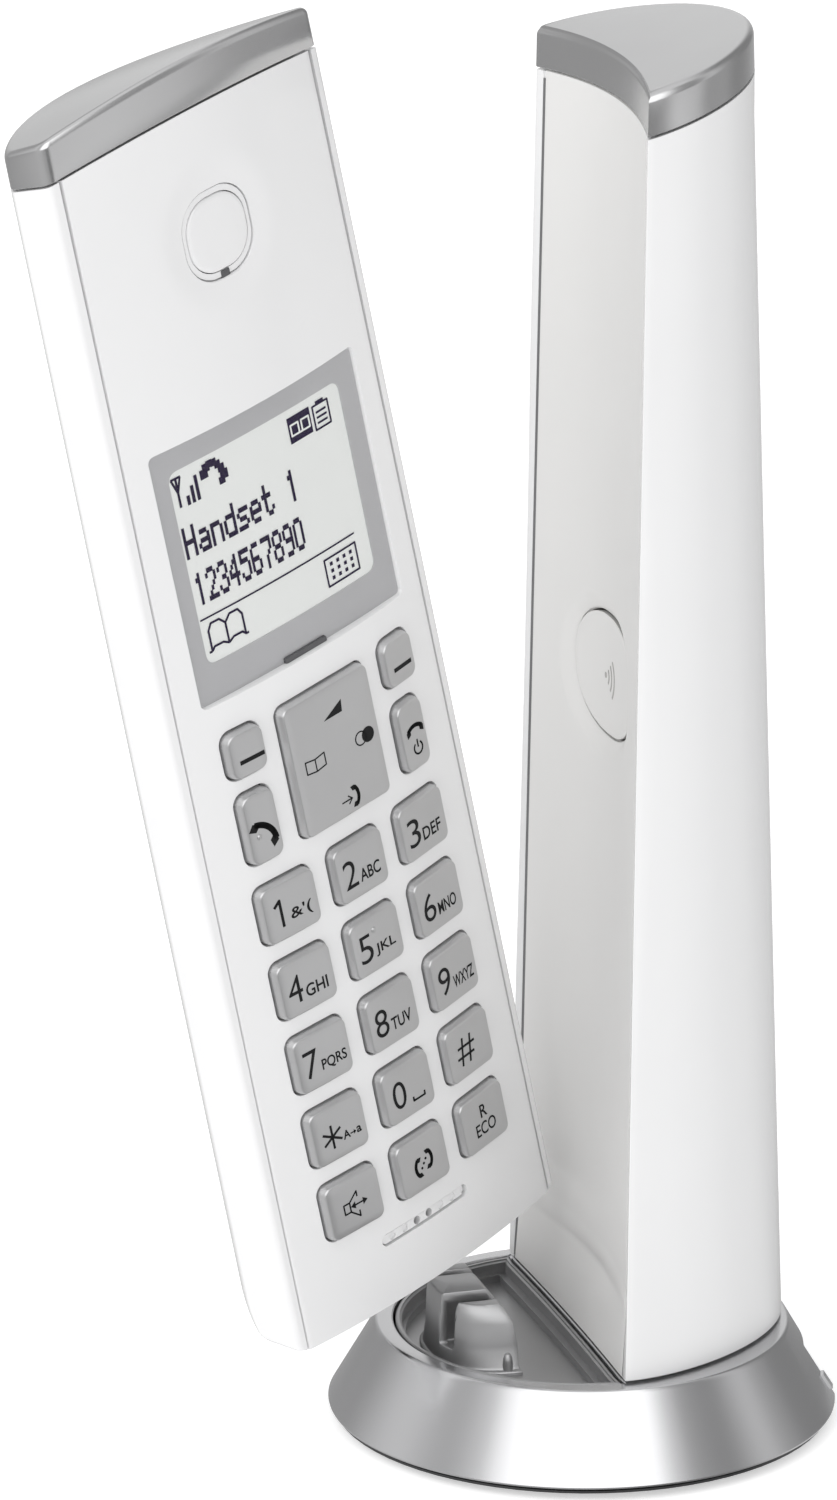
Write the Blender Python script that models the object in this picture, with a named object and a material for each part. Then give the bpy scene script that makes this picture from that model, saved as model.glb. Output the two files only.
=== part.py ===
"""Cordless phone with base: tall tapered tower on a round plinth, handset held off beside it.

Units below are millimetres, scaled to metres when a mesh is made. +Z is up. The origin is the
centre of the plinth's underside and the tower's hollow face looks along -Y.
"""
import math

import bpy
from mathutils import Euler, Matrix, Vector

MM = 0.001
GAP = 0.3

# plinth
RING_R = 35.0
RIM_R = 28.34
RIM_Z = 13.25
RING_FOOT_Z = 1.45
RECESS_R = 26.0
TRAY_FLOOR_Z = 10.1
TRAY_WALL = 0.9

# tower, foot then head: chord, front edge y, depth, squareness, hollow
TOWER_Z0 = 13.6
TOWER_Z1 = 189.3
CHORD = (52.9, 47.9)
FRONT_Y = (-2.3, 0.24)
DEPTH = (30.3, 21.0)
SQUARE = (0.67, 0.85)
HOLLOW = (3.3, 3.1)
HEEL_Z = 22.5
TOWER_WALL = 1.8
TOWER_CAP_H = 5.8
TOWER_SLOPE = 0.25

# page button
PAGE_A = 12.0
PAGE_B = 8.2
PAGE_Z = 104.9
DISH_A = 15.0
DISH_B = 11.0
DISH_DEEP = 1.4
PAGE_FRONT = 0.8
PAGE_BACK = 3.55

# handset, top then foot
HS_LEN = 176.5
HS_W = (48.0, 50.4)
HS_T = (21.1, 25.0)
HS_SIDE = (6.9, 8.2)
HS_SQUARE = 0.24
HS_BULGE = 2.5
HS_CAP_H = 5.7
HS_WALL = 1.6
COVER_T = 1.7
SEAM_IN = (1.9, 1.6)
CAP_ARCH = 1.7
SEAM_ARCH = 1.2
CAP_SLOPE = 0.32
SEAM_SLOPE = 0.23

# where the handset is held: front plane's top centre, then turn, lean and pitch
HS_AT = (20.0, -61.5, 194.9)
HS_TURN = 117.9
HS_LEAN = -13.84
HS_PITCH = -0.93

# handset front
WIN_W = 37.2
WIN_TOP = -45.9
WIN_BOT = -81.9
LCD_W = 34.6
EAR_X = -0.35
EAR_Z = -21.6
EAR_W = 11.9
EAR_H = 12.2
EAR_IN_W = 10.2
EAR_IN_H = 10.0
MIC_X = -0.9
MIC_Z = -167.7
KEY_RISE = 1.1
KEY_PITCH_X = 12.6
KEY_PITCH_Z = 11.32
KEY_TOP_Z = -113.4
KEY_W = 9.3
KEY_H = 8.3
KEY_SEAT = 2.05
NAV_SEAT = 2.75

# battery bay
BAY_W = 25.0
BAY_TOP = -92.0
BAY_BOT = -150.0
BAY_RUN = 4.0
CELL_R = 5.1
CELL_LEN = 44.5
CELL_Y = 13.6

for thing in list(bpy.data.objects):
    bpy.data.objects.remove(thing, do_unlink=True)

parts = bpy.data.collections.new("cordless_phone_with_base")
cutters = bpy.data.collections.new("cutters")
bpy.context.scene.collection.children.link(parts)
bpy.context.scene.collection.children.link(cutters)
MATERIALS = {}


def material(name, colour, metallic=0.0, rough=0.4, clear=0.0):
    mat = bpy.data.materials.new(name)
    mat.use_nodes = True
    shader = mat.node_tree.nodes["Principled BSDF"]
    shader.inputs["Base Color"].default_value = (colour[0], colour[1], colour[2], 1.0)
    shader.inputs["Metallic"].default_value = metallic
    shader.inputs["Roughness"].default_value = rough
    shader.inputs["Transmission Weight"].default_value = clear
    return mat


def lerp(pair, t):
    return pair[0] + (pair[1] - pair[0]) * t


def steps(a, b, n):
    return [a + (b - a) * i / n for i in range(n + 1)]


def add(name, verts, faces, pose=None, group=None, look=None):
    mesh = bpy.data.meshes.new(name)
    mesh.from_pydata([tuple(c * MM for c in v) for v in verts], [], faces)
    mesh.validate()
    mesh.update()
    obj = bpy.data.objects.new(name, mesh)
    (group or parts).objects.link(obj)
    if pose is not None:
        obj.matrix_world = pose
    if look is not None:
        obj.data.materials.append(material(name, *look))
    if group is cutters:
        obj.hide_render = True
        obj.display_type = "WIRE"
    return obj


def rings_to_solid(rings, strip=False):
    """Faces between rings of equal size. strip closes the ends in slices, for bent ends."""
    count = len(rings[0])
    verts = [p for ring in rings for p in ring]
    faces = []
    for k in range(len(rings) - 1):
        for i in range(count):
            j = (i + 1) % count
            faces.append((k * count + i, k * count + j, (k + 1) * count + j, (k + 1) * count + i))
    last = (len(rings) - 1) * count
    if strip:
        half = count // 2
        for i in range(half - 1):
            a, b, c, d = i, i + 1, count - 2 - i, count - 1 - i
            faces.append((d, c, b, a))
            faces.append((last + a, last + b, last + c, last + d))
    else:
        faces.append(tuple(reversed(range(count))))
        faces.append(tuple(last + i for i in range(count)))
    return verts, faces


def wrap(name, rings, strip=False, **kw):
    verts, faces = rings_to_solid(rings, strip)
    obj = add(name, verts, faces, **kw)
    mesh = obj.data
    total = 0.0
    for poly in mesh.polygons:
        total += poly.center.dot(poly.normal) * poly.area
    if total < 0:
        mesh.flip_normals()
    return obj


def box(name, lo, hi, **kw):
    x0, y0, z0 = lo
    x1, y1, z1 = hi
    low = [(x0, y0, z0), (x1, y0, z0), (x1, y1, z0), (x0, y1, z0)]
    high = [(x, y, z1) for x, y, z in low]
    return wrap(name, [low, high], **kw)


def boxes(name, spans, **kw):
    verts = []
    faces = []
    for lo, hi in spans:
        x0, y0, z0 = lo
        x1, y1, z1 = hi
        low = [(x0, y0, z0), (x1, y0, z0), (x1, y1, z0), (x0, y1, z0)]
        high = [(x, y, z1) for x, y, z in low]
        more, sides = rings_to_solid([low, high])
        base = len(verts)
        verts += more
        faces += [tuple(base + i for i in f) for f in sides]
    return add(name, verts, faces, **kw)


def disc(name, centre, axis, radii_at, seg=32, **kw):
    """Stack of circles about an axis: radii_at is [(radius, distance along axis), ...]."""
    turn = Vector((0, 0, 1)).rotation_difference(Vector(axis)).to_matrix()
    rings = []
    for r, d in radii_at:
        ring = []
        for i in range(seg):
            a = 2 * math.pi * (i + 0.5) / seg
            p = turn @ Vector((r * math.cos(a), r * math.sin(a), d))
            ring.append((centre[0] + p.x, centre[1] + p.y, centre[2] + p.z))
        rings.append(ring)
    return wrap(name, rings, **kw)


def spin(name, profile, seg=72, **kw):
    """Closed profile of (r, z) turned about Z. Points with r = 0 share one vertex."""
    verts = []
    index = []
    for r, z in profile:
        if r < 1e-6:
            index.append([len(verts)] * seg)
            verts.append((0.0, 0.0, z))
        else:
            row = []
            for i in range(seg):
                a = 2 * math.pi * (i + 0.5) / seg
                row.append(len(verts))
                verts.append((r * math.cos(a), r * math.sin(a), z))
            index.append(row)
    faces = []
    count = len(profile)
    for k in range(count):
        here, there = index[k], index[(k + 1) % count]
        if here[0] == here[1] and there[0] == there[1]:
            continue
        for i in range(seg):
            j = (i + 1) % seg
            loop = []
            for v in (here[i], here[j], there[j], there[i]):
                if v not in loop:
                    loop.append(v)
            if len(loop) > 2:
                faces.append(tuple(loop))
    obj = add(name, verts, faces, **kw)
    mesh = obj.data
    total = sum(p.center.dot(p.normal) * p.area for p in mesh.polygons)
    if total < 0:
        mesh.flip_normals()
    return obj


def cut(target, cutter, operation="DIFFERENCE"):
    mod = target.modifiers.new("cut", "BOOLEAN")
    mod.operation = operation
    mod.solver = "EXACT"
    mod.object = cutter
    return mod


def rounded(w, h, r, n=3):
    """Rounded rectangle about the origin, counterclockwise in (x, z)."""
    pts = []
    for cx, cz, start in ((1, 1, 0), (-1, 1, 90), (-1, -1, 180), (1, -1, 270)):
        for i in range(n):
            a = math.radians(start + 90 * i / (n - 1))
            pts.append((cx * (w / 2 - r) + r * math.cos(a), cz * (h / 2 - r) + r * math.sin(a)))
    return pts


# ---------------------------------------------------------------- sections

def tower_at(z):
    t = (z - RIM_Z) / (TOWER_Z1 - RIM_Z)
    heel = min(max((z - RIM_Z) / (HEEL_Z - RIM_Z), 0.0), 1.0)
    hollow = lerp(HOLLOW, t) * (0.1 + 0.9 * heel)
    return lerp(CHORD, t), lerp(FRONT_Y, t), lerp(DEPTH, t), lerp(SQUARE, t), hollow


def tower_face_y(x, z):
    chord, front, _, _, hollow = tower_at(z)
    return front + hollow * (1 - (2 * x / chord) ** 2)


def tower_back_y(u, z, inset=0.0):
    chord, front, depth, square, _ = tower_at(z)
    root = math.sqrt(max(1 - u * u, 0.0))
    edge = 0.8
    return front + edge + (depth - edge - inset) * ((1 - square) * (1 - u * u) + square * root)


def tower_ring(z, slope=0.0, inset=0.0, n=18, front=None):
    """Front edge from +X to -X, then the back from -X to +X, at matching x."""
    chord, edge_y, _, _, _ = tower_at(z)
    half = chord / 2 - inset
    us = [math.cos(math.pi * i / n) for i in range(n + 1)]
    ring = []
    for u in us:
        x = half * u
        y = tower_face_y(x, z) if front is None else front
        ring.append((x, y, z + slope * (y - edge_y)))
    for u in reversed(us):
        y = tower_back_y(u, z, inset)
        if inset:
            y = max(y, (tower_face_y(half * u, z) if front is None else front) + 0.4)
        ring.append((half * u, y, z + slope * (y - edge_y)))
    return ring


def hs_at(z):
    t = -z / HS_LEN
    return lerp(HS_W, t), lerp(HS_T, t), lerp(HS_SIDE, t), lerp(SEAM_IN, t)


def hs_front_y(x, z):
    width = hs_at(z)[0]
    return -HS_BULGE * (1 - (2 * x / width) ** 2)


def hs_foot(z):
    """How much of the depth is left near the rounded foot."""
    up = z + HS_LEN
    if up >= 7.0:
        return 0.0
    return 1.0 - math.sqrt(max(1 - ((7.0 - up) / 7.0) ** 2, 0.0))


def hs_back_y(x, z, inset=0.0):
    width, thick, side, _ = hs_at(z)
    foot = hs_foot(z)
    side -= 2.7 * foot + inset * 0.4
    thick -= 3.5 * foot + inset
    u = min(abs(2 * x / (width - 2 * inset)), 1.0)
    root = math.sqrt(max(1 - u * u, 0.0))
    return side + (thick - side) * ((1 - HS_SQUARE) * (1 - u * u) + HS_SQUARE * root)


def hs_ring(z, arch=0.0, slope=0.0, inset=0.0, n=18):
    width = hs_at(z)[0]
    half = width / 2 - inset
    us = [math.cos(math.pi * i / n) for i in range(n + 1)]
    ring = []
    for u in us:
        x = half * u
        y = hs_front_y(x, z) + inset
        if abs(u) > 0.999:
            y = max(y, 0.9)
        ring.append((x, y, z + arch * (1 - u * u) - slope * y))
    for u in reversed(us):
        x = half * u
        y = hs_back_y(x, z, inset)
        ring.append((x, y, z + arch * (1 - u * u) - slope * y))
    return ring


def slab(levels, half_at, front_at, back_at, tilt=None, n=16):
    """Curved plate: at each level a front line then its back line, at matching x."""
    rings = []
    for k, z in enumerate(levels):
        half = half_at(z)
        xs = [half * (1 - 2 * i / n) for i in range(n + 1)]
        fronts = [(x, front_at(x, z)) for x in xs]
        backs = [(x, back_at(x, z)) for x in reversed(xs)]
        ring = []
        for x, y in fronts + backs:
            lift = tilt(x, y) if tilt and k == len(levels) - 1 else 0.0
            ring.append((x, y, z + lift))
        rings.append(ring)
    return rings


# ---------------------------------------------------------------- looks

WHITE = ((0.86, 0.86, 0.85), 0.0, 0.28)
FACE = ((0.74, 0.73, 0.71), 0.0, 0.38)
SILVER = ((0.56, 0.56, 0.55), 0.9, 0.3)
KEYS = ((0.62, 0.62, 0.61), 0.8, 0.35)
DARK = ((0.3, 0.3, 0.3), 0.85, 0.35)
STEEL = ((0.5, 0.5, 0.5), 1.0, 0.3)
GOLD = ((0.8, 0.6, 0.25), 1.0, 0.25)
BOARD = ((0.05, 0.25, 0.12), 0.0, 0.5)
BLACK = ((0.02, 0.02, 0.02), 0.0, 0.6)
CLEAR = ((0.85, 0.86, 0.87), 0.0, 0.08, 0.7)
LCD = ((0.7, 0.73, 0.7), 0.0, 0.4)
MAT = ((0.35, 0.35, 0.36), 0.0, 0.7)
CELL = ((0.1, 0.35, 0.2), 0.2, 0.35)

# ---------------------------------------------------------------- plinth

ring = spin(
    "base_ring",
    [
        (34.6, RING_FOOT_Z),
        (RING_R, RING_FOOT_Z + 0.4),
        (RIM_R + 0.25, RIM_Z - 0.45),
        (RIM_R - 0.25, RIM_Z),
        (0.0, RIM_Z),
        (0.0, RIM_Z - 1.5),
        (26.9, RIM_Z - 1.5),
        (33.0, RING_FOOT_Z),
    ],
    look=SILVER,
)


def recess_outline(inset, n=24):
    """Crescent space in front of the tower: an arc, closed along the hollow face."""
    r = RECESS_R - inset
    y_end = FRONT_Y[0] - inset
    start = math.atan2(y_end, math.sqrt(r * r - y_end * y_end))
    pts = []
    for i in range(n + 1):
        a = start - (math.pi + 2 * start) * i / n
        pts.append((r * math.cos(a), r * math.sin(a)))
    x_end = pts[-1][0]
    for i in range(1, 12):
        x = x_end * (1 - 2 * i / 12)
        pts.append((x, tower_face_y(x, TOWER_Z0) - inset - 0.25))
    return pts


def prism(name, outline, z0, z1, **kw):
    return wrap(name, [[(x, y, z0) for x, y in outline], [(x, y, z1) for x, y in outline]], **kw)


cut(ring, prism("recess_cut", recess_outline(0.0), RIM_Z - 4, RIM_Z + 3, group=cutters))
cut(ring, box("socket_cut", (-12.8, 23.0, -1), (10.1, 40, 9.5), group=cutters))
hood = [[(9.9, 30.4, z), (11.6, 30.0, z), (11.6, y - 0.6, z), (9.9, y, z)] for z, y in ((3.2, 33.3), (5.4, 31.9))]
cut(ring, wrap("socket_lip", hood, group=cutters), "UNION")

bottom = spin(
    "bottom_plate",
    [(0.0, 0.8), (34.3, 0.8), (34.3, 1.15), (32.4, 1.15), (32.4, 2.4), (0.0, 2.4)],
    look=DARK,
)
cut(bottom, box("plate_socket_cut", (-12.8, 23.0, -1), (10.1, 40, 9.5), group=cutters))
for tag, x in (("left", -24.0), ("right", 24.0)):
    cut(bottom, disc("screw_well_" + tag, (x, -15, 0), (0, 0, 1), [(2.4, 0.2), (2.4, 1.5)], 16, group=cutters))
    cut(bottom, disc("screw_hole_" + tag, (x, -15, 0), (0, 0, 1), [(1.3, 1.0), (1.3, 4)], 16, group=cutters))
    disc("base_screw_" + tag, (x, -15, 0), (0, 0, 1),
         [(2.0, 0.5), (2.1, 0.8), (2.1, 1.2), (1.0, 1.2), (1.0, 6.5)], 16, look=STEEL)

disc("foot_pad", (0, 0, 0), (0, 0, 1), [(25.2, 0.0), (25.5, 0.2), (25.5, 0.5)], 64, look=BLACK)
disc("base_weight", (0, 0, 0), (0, 0, 1), [(22.0, 2.8), (22.4, 3.1), (22.4, 7.6)], 48, look=STEEL)

# ---------------------------------------------------------------- cradle

tray = prism("cradle_tray", recess_outline(0.25), 8.9, RIM_Z - 0.1, look=DARK)
cut(tray, prism("tray_hollow", recess_outline(0.25 + TRAY_WALL), TRAY_FLOOR_Z, 20, group=cutters))

# level: z, half width, front y, back y
PYLON = [
    (9.8, 11.0, -22.3, -12.2),
    (10.6, 11.0, -22.3, -12.2),
    (10.7, 10.5, -21.9, -12.3),
    (14.0, 10.1, -21.8, -12.4),
    (17.4, 9.7, -21.7, -13.0),
    (19.0, 9.0, -21.6, -14.0),
    (20.0, 7.6, -21.5, -15.0),
]


def pylon_ring(z, half, front_y, back_y, n=14, power=2.4):
    ring = []
    for i in range(n + 1):
        a = math.pi * i / n
        u = math.copysign(abs(math.cos(a)) ** (2 / power), math.cos(a))
        ring.append((half * u, back_y + (front_y - back_y) * math.sin(a) ** (2 / power), z))
    return ring


pylon = wrap("pylon", [pylon_ring(*row) for row in PYLON], group=cutters)
cut(tray, pylon, "UNION")
for tag, side in (("left", -1), ("right", 1)):
    x0, x1 = sorted((side * 3.4, side * 6.3))
    cut(tray, box("slot_" + tag, (x0, -30, 12.8), (x1, -6, 24), group=cutters))
    x0, x1 = sorted((side * 2.6, side * 4.4))
    cut(tray, box("lip_" + tag, (x0, -20.4, 12.8), (x1, -14.6, 18.5), group=cutters))
    x0, x1 = sorted((side * 6.0, side * 12.0))
    cut(tray, box("top_" + tag, (x0, -30, 19.55), (x1, -6, 24), group=cutters))
for tag, x in (("left", -4.9), ("right", 4.9)):
    cut(tray, box("pin_slot_" + tag, (x - 1.1, -18.7, 8), (x + 1.1, -15.9, 14), group=cutters))
    box("charge_pin_" + tag, (x - 0.8, -18.4, 9.2), (x + 0.8, -16.2, 15.6), look=GOLD)

# ---------------------------------------------------------------- tower

TOWER_SEAM_Z = TOWER_Z1 - TOWER_CAP_H
levels = [TOWER_Z0, HEEL_Z, 40.0, 80.0, 120.0, 155.0, TOWER_SEAM_Z - GAP]
shell_rings = [tower_ring(z) for z in levels[:-1]] + [tower_ring(levels[-1], TOWER_SLOPE)]
shell = wrap("tower_shell", shell_rings, strip=True, look=WHITE)


def tower_hollow_ring(z, lift):
    chord, front, depth, square, _ = tower_at(z)
    half = chord / 2 - TOWER_WALL
    n = 18
    us = [math.cos(math.pi * i / n) for i in range(n + 1)]
    ring = [(half * u, front - 8.0, z + lift) for u in us]
    for u in reversed(us):
        y = max(tower_back_y(u, z, 0.0) - TOWER_WALL, front + 3.1) if abs(u) < 0.97 else front + 3.1
        ring.append((half * u, y, z + lift))
    return ring


hollow = [tower_hollow_ring(z, 0.0) for z in levels]
hollow[0] = [(x, y, z - 4) for x, y, z in hollow[0]]
hollow[-1] = [(x, y, z + 20) for x, y, z in hollow[-1]]
cut(shell, wrap("tower_hollow", hollow, strip=True, group=cutters))

face_rings = slab(
    levels,
    lambda z: tower_at(z)[0] / 2 - TOWER_WALL - 0.2,
    lambda x, z: tower_face_y(x, z),
    lambda x, z: tower_face_y(x, z) + 2.2,
    lambda x, y: TOWER_SLOPE * y,
)
face = wrap("tower_front", face_rings, strip=True, look=FACE)


def face_oval(a, b, off, n=28, power=2.25):
    """Rounded outline on the hollow face, off millimetres behind it."""
    ring = []
    for i in range(n):
        t = 2 * math.pi * (i + 0.5) / n
        x = a * math.copysign(abs(math.cos(t)) ** (2 / power), math.cos(t))
        z = b * math.copysign(abs(math.sin(t)) ** (2 / power), math.sin(t))
        ring.append((x, tower_face_y(x, PAGE_Z) + off, PAGE_Z + z))
    return ring


dish = [face_oval(DISH_A, DISH_B, -3.0), face_oval(DISH_A, DISH_B, 0.05)]
dish += [face_oval(PAGE_A + 0.3, PAGE_B + 0.3, DISH_DEEP), face_oval(PAGE_A + 0.3, PAGE_B + 0.3, 6.0)]
cut(face, wrap("dish_cut", dish, strip=True, group=cutters))
button = [face_oval(PAGE_A - 0.4, PAGE_B - 0.4, PAGE_FRONT), face_oval(PAGE_A, PAGE_B, PAGE_FRONT + 0.3)]
button.append(face_oval(PAGE_A, PAGE_B, PAGE_BACK))
wrap("page_button", button, strip=True, look=FACE)

cap_z = TOWER_SEAM_Z
cap = wrap(
    "tower_cap",
    [
        tower_ring(cap_z, TOWER_SLOPE),
        tower_ring(TOWER_Z1 - 1.3, TOWER_SLOPE),
        tower_ring(TOWER_Z1 - 0.35, TOWER_SLOPE, 0.45),
        tower_ring(TOWER_Z1, TOWER_SLOPE, 1.3),
    ],
    strip=True,
    look=SILVER,
)

box("page_switch", (-3, 6.9, PAGE_Z - 3), (3, 8.0, PAGE_Z + 3), look=BLACK)
box("base_board", (-16, 8.3, 48), (16, 9.9, 150), look=BOARD)
disc("antenna", (11, 9.1, 0), (0, 0, 1), [(0.7, 150.4), (0.7, 178)], 10, look=STEEL)
ballast = []
for i in range(13):
    a = math.pi * i / 12
    ballast.append((18.0 * math.cos(a), 6.5 + 16.0 * math.sin(a)))
prism("tower_ballast", ballast, RIM_Z + 0.4, 42.0, look=STEEL)

line = box("line_socket", (-12.4, 23.3, 1.2), (-0.35, 27.6, 9.1), look=BLACK)
cut(line, box("line_pocket", (-11.3, 24.2, 1.9), (-1.5, 36, 8.4), group=cutters))
power = box("power_socket", (0.0, 23.3, 1.2), (9.7, 27.6, 9.1), look=BLACK)
cut(power, disc("power_bore", (4.85, 24.4, 5.2), (0, 1, 0), [(2.9, 0), (2.9, 12)], 24, group=cutters))
cut(power, disc("power_pin", (4.85, 23.9, 5.2), (0, 1, 0), [(0.65, 0), (0.65, 3.3)], 12, group=cutters), "UNION")

# ---------------------------------------------------------------- handset

turn = Euler((0, 0, math.radians(HS_TURN))).to_matrix() @ Euler((0, math.radians(HS_LEAN), 0)).to_matrix()
turn = turn @ Euler((math.radians(HS_PITCH), 0, 0)).to_matrix()
POSE = Matrix.Translation(Vector(HS_AT) * MM) @ turn.to_4x4()

foot_levels = [-HS_LEN, -HS_LEN + 0.8, -HS_LEN + 2.4, -HS_LEN + 4.6, -HS_LEN + 7.0]
seam_z = -HS_CAP_H - GAP
body_levels = foot_levels + [-140.0, -100.0, -60.0, -25.0]
rings = [hs_ring(z) for z in body_levels]
rings.append(hs_ring(seam_z, SEAM_ARCH, SEAM_SLOPE))
rear = wrap("hs_rear_shell", rings, strip=True, pose=POSE, look=WHITE)


def hs_cavity_ring(z):
    width = hs_at(z)[0]
    half = width / 2 - HS_WALL
    n = 18
    us = [math.cos(math.pi * i / n) for i in range(n + 1)]
    ring = [(half * u, -8.0, z) for u in us]
    for u in reversed(us):
        ring.append((half * u, max(hs_back_y(half * u, z, HS_WALL), 3.0), z))
    return ring


cavity = [hs_cavity_ring(z) for z in (-HS_LEN + 2.0, -HS_LEN + 4.6, -HS_LEN + 7, -140, -100, -60, -25)]
cavity.append([(x, y, 10.0) for x, y, z in hs_cavity_ring(-8.0)])
cut(rear, wrap("hs_cavity", cavity, strip=True, pose=POSE, group=cutters))
front_seat = slab(
    [-HS_LEN - 4, -140, -100, -60, 6],
    lambda z: hs_at(z)[0] / 2 - hs_at(z)[3] + 0.15,
    lambda x, z: -9.0,
    lambda x, z: hs_front_y(x, z) + COVER_T + 0.25,
)
cut(rear, wrap("hs_front_seat", front_seat, strip=True, pose=POSE, group=cutters))

cover_rings = slab(
    [-HS_LEN, -140, -100, -60, -25, seam_z],
    lambda z: hs_at(z)[0] / 2 - hs_at(z)[3] - 0.15,
    lambda x, z: hs_front_y(x, z),
    lambda x, z: hs_front_y(x, z) + COVER_T,
    lambda x, y: SEAM_ARCH * (1 - (2 * x / 48.0) ** 2) - SEAM_SLOPE * y,
)
front = wrap("hs_front_cover", cover_rings, strip=True, pose=POSE, look=WHITE)

wrap(
    "hs_top_cap",
    [
        hs_ring(-HS_CAP_H, SEAM_ARCH, SEAM_SLOPE),
        hs_ring(-1.1, CAP_ARCH, CAP_SLOPE),
        hs_ring(-0.3, CAP_ARCH, CAP_SLOPE, 0.35),
        hs_ring(0.0, CAP_ARCH, CAP_SLOPE, 1.0),
    ],
    strip=True,
    pose=POSE,
    look=SILVER,
)

# window and display
mid = (WIN_TOP + WIN_BOT) / 2
tall = WIN_TOP - WIN_BOT
window = [[(x, y, mid + z) for x, z in rounded(WIN_W, tall, 0.8)] for y in (-9, 9)]
cut(front, wrap("window_hole", window, pose=POSE, group=cutters))
pane = wrap(
    "hs_window",
    slab([WIN_BOT + 0.3, WIN_TOP - 0.3], lambda z: WIN_W / 2 - 0.3, lambda x, z: hs_front_y(x, mid),
         lambda x, z: hs_front_y(x, mid) + 1.0, n=10),
    strip=True, pose=POSE, look=CLEAR)
box("hs_lcd_module", (-LCD_W / 2, 0.3, WIN_BOT + 1.4), (LCD_W / 2, 2.6, WIN_TOP - 1.4), pose=POSE, look=LCD)

# earpiece and microphone
def pad(name, w, h, r, cx, cz, y0, y1, n=6, **kw):
    outline = rounded(w, h, r, n)
    return wrap(name, [[(cx + x, y, cz + z) for x, z in outline] for y in (y0, y1)], pose=POSE, **kw)


cut(front, pad("ear_groove", EAR_W, EAR_H, 4.9, EAR_X, EAR_Z, -9, -2.0, group=cutters))
cut(front, pad("ear_hole", EAR_IN_W + 0.6, EAR_IN_H + 0.6, 4.5, EAR_X, EAR_Z, -9, 9, group=cutters))
pad("hs_earpiece_disc", EAR_IN_W, EAR_IN_H, 4.2, EAR_X, EAR_Z, -2.35, -0.9, look=WHITE)
disc("hs_receiver", (EAR_X, 0, EAR_Z), (0, 1, 0), [(7.0, -0.3), (7.0, 2.5)], 20, pose=POSE, look=BLACK)
cut(front, pad("mic_slot", 17.4, 1.8, 0.85, MIC_X, MIC_Z, -9, -1.95, n=4, group=cutters))
for tag, x in (("left", MIC_X - 1.1), ("right", MIC_X + 1.1)):
    cut(front, disc("mic_hole_" + tag, (x, -9, MIC_Z), (0, 1, 0), [(0.6, 0), (0.6, 10)], 10,
                    pose=POSE, group=cutters))
disc("hs_microphone", (MIC_X, 0, MIC_Z), (0, 1, 0), [(2.6, -0.4), (2.6, 2.5)], 14, pose=POSE, look=BLACK)

# keys: name, x, z, width, height, corner
KEYS_AT = [
    ("key_soft_left", -14.1, -89.8, 6.0, 6.6, 1.5),
    ("key_soft_right", 14.5, -89.6, 6.0, 6.8, 1.5),
    ("key_navigator", 0.0, -96.2, 16.0, 19.2, 1.2),
    ("key_talk", -14.2, -100.7, 5.5, 10.2, 1.5),
    ("key_off", 14.3, -100.7, 5.3, 10.0, 1.5),
]
PAD = ["1", "2", "3", "4", "5", "6", "7", "8", "9", "star", "0", "hash", "speaker", "intercom", "recall"]
for i, tag in enumerate(PAD):
    row, col = divmod(i, 3)
    KEYS_AT.append(("key_" + tag, (col - 1) * KEY_PITCH_X, KEY_TOP_Z - row * KEY_PITCH_Z, KEY_W, KEY_H, 1.3))


def key_rings(cx, cz, w, h, r, spans):
    tilt = 2 * HS_BULGE * cx / (hs_at(cz)[0] / 2) ** 2
    base = hs_front_y(cx, cz)
    rings = []
    for grow, y in spans:
        ring = []
        for x, z in rounded(w + 2 * grow, h + 2 * grow, max(r + grow, 0.4)):
            ring.append((cx + x, base + y + tilt * x, cz + z))
        rings.append(ring)
    return rings


for name, cx, cz, w, h, r in KEYS_AT:
    hole = key_rings(cx, cz, w, h, r, [(0.3, -6.0), (0.3, 6.0)])
    cut(front, wrap("hole_" + name, hole, pose=POSE, group=cutters))
    seat = NAV_SEAT if name == "key_navigator" else KEY_SEAT
    spans = [(0.7, seat + 0.5), (0.7, seat), (0.0, seat), (0.0, 0.3 - KEY_RISE), (-0.3, -KEY_RISE)]
    wrap(name, key_rings(cx, cz, w, h, r, spans), pose=POSE, look=KEYS)

# boards, sounder, cells
box("hs_keypad_mat", (-19, 2.1, -164.5), (19, 2.7, -85), pose=POSE, look=MAT)
box("hs_board", (-20.5, 3.0, -172), (20.5, 4.2, -10), pose=POSE, look=BOARD)
disc("hs_ringer", (0, 0, -42), (0, 1, 0), [(8.0, 5.0), (8.0, 9.0)], 20, pose=POSE, look=BLACK)
cut(rear, boxes("ringer_slots", [((-6, 12, z), (6, 30, z + 1.1)) for z in (-46, -43, -40, -37)],
                pose=POSE, group=cutters))
top_cell = -98.5
for tag, x in (("left", -5.6), ("right", 5.6)):
    disc("hs_cell_" + tag, (x, CELL_Y, top_cell - CELL_LEN), (0, 0, 1),
         [(CELL_R - 0.4, 0), (CELL_R, 0.4), (CELL_R, CELL_LEN - 1.6), (1.9, CELL_LEN - 1.3), (1.9, CELL_LEN)],
         20, pose=POSE, look=CELL)
box("hs_cell_contact_top", (-10.5, 9.5, top_cell + 0.4), (10.5, 17.5, top_cell + 1.0), pose=POSE, look=STEEL)
box("hs_cell_contact_foot", (-10.5, 9.5, top_cell - CELL_LEN - 1.0), (10.5, 17.5, top_cell - CELL_LEN - 0.4),
    pose=POSE, look=STEEL)

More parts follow.
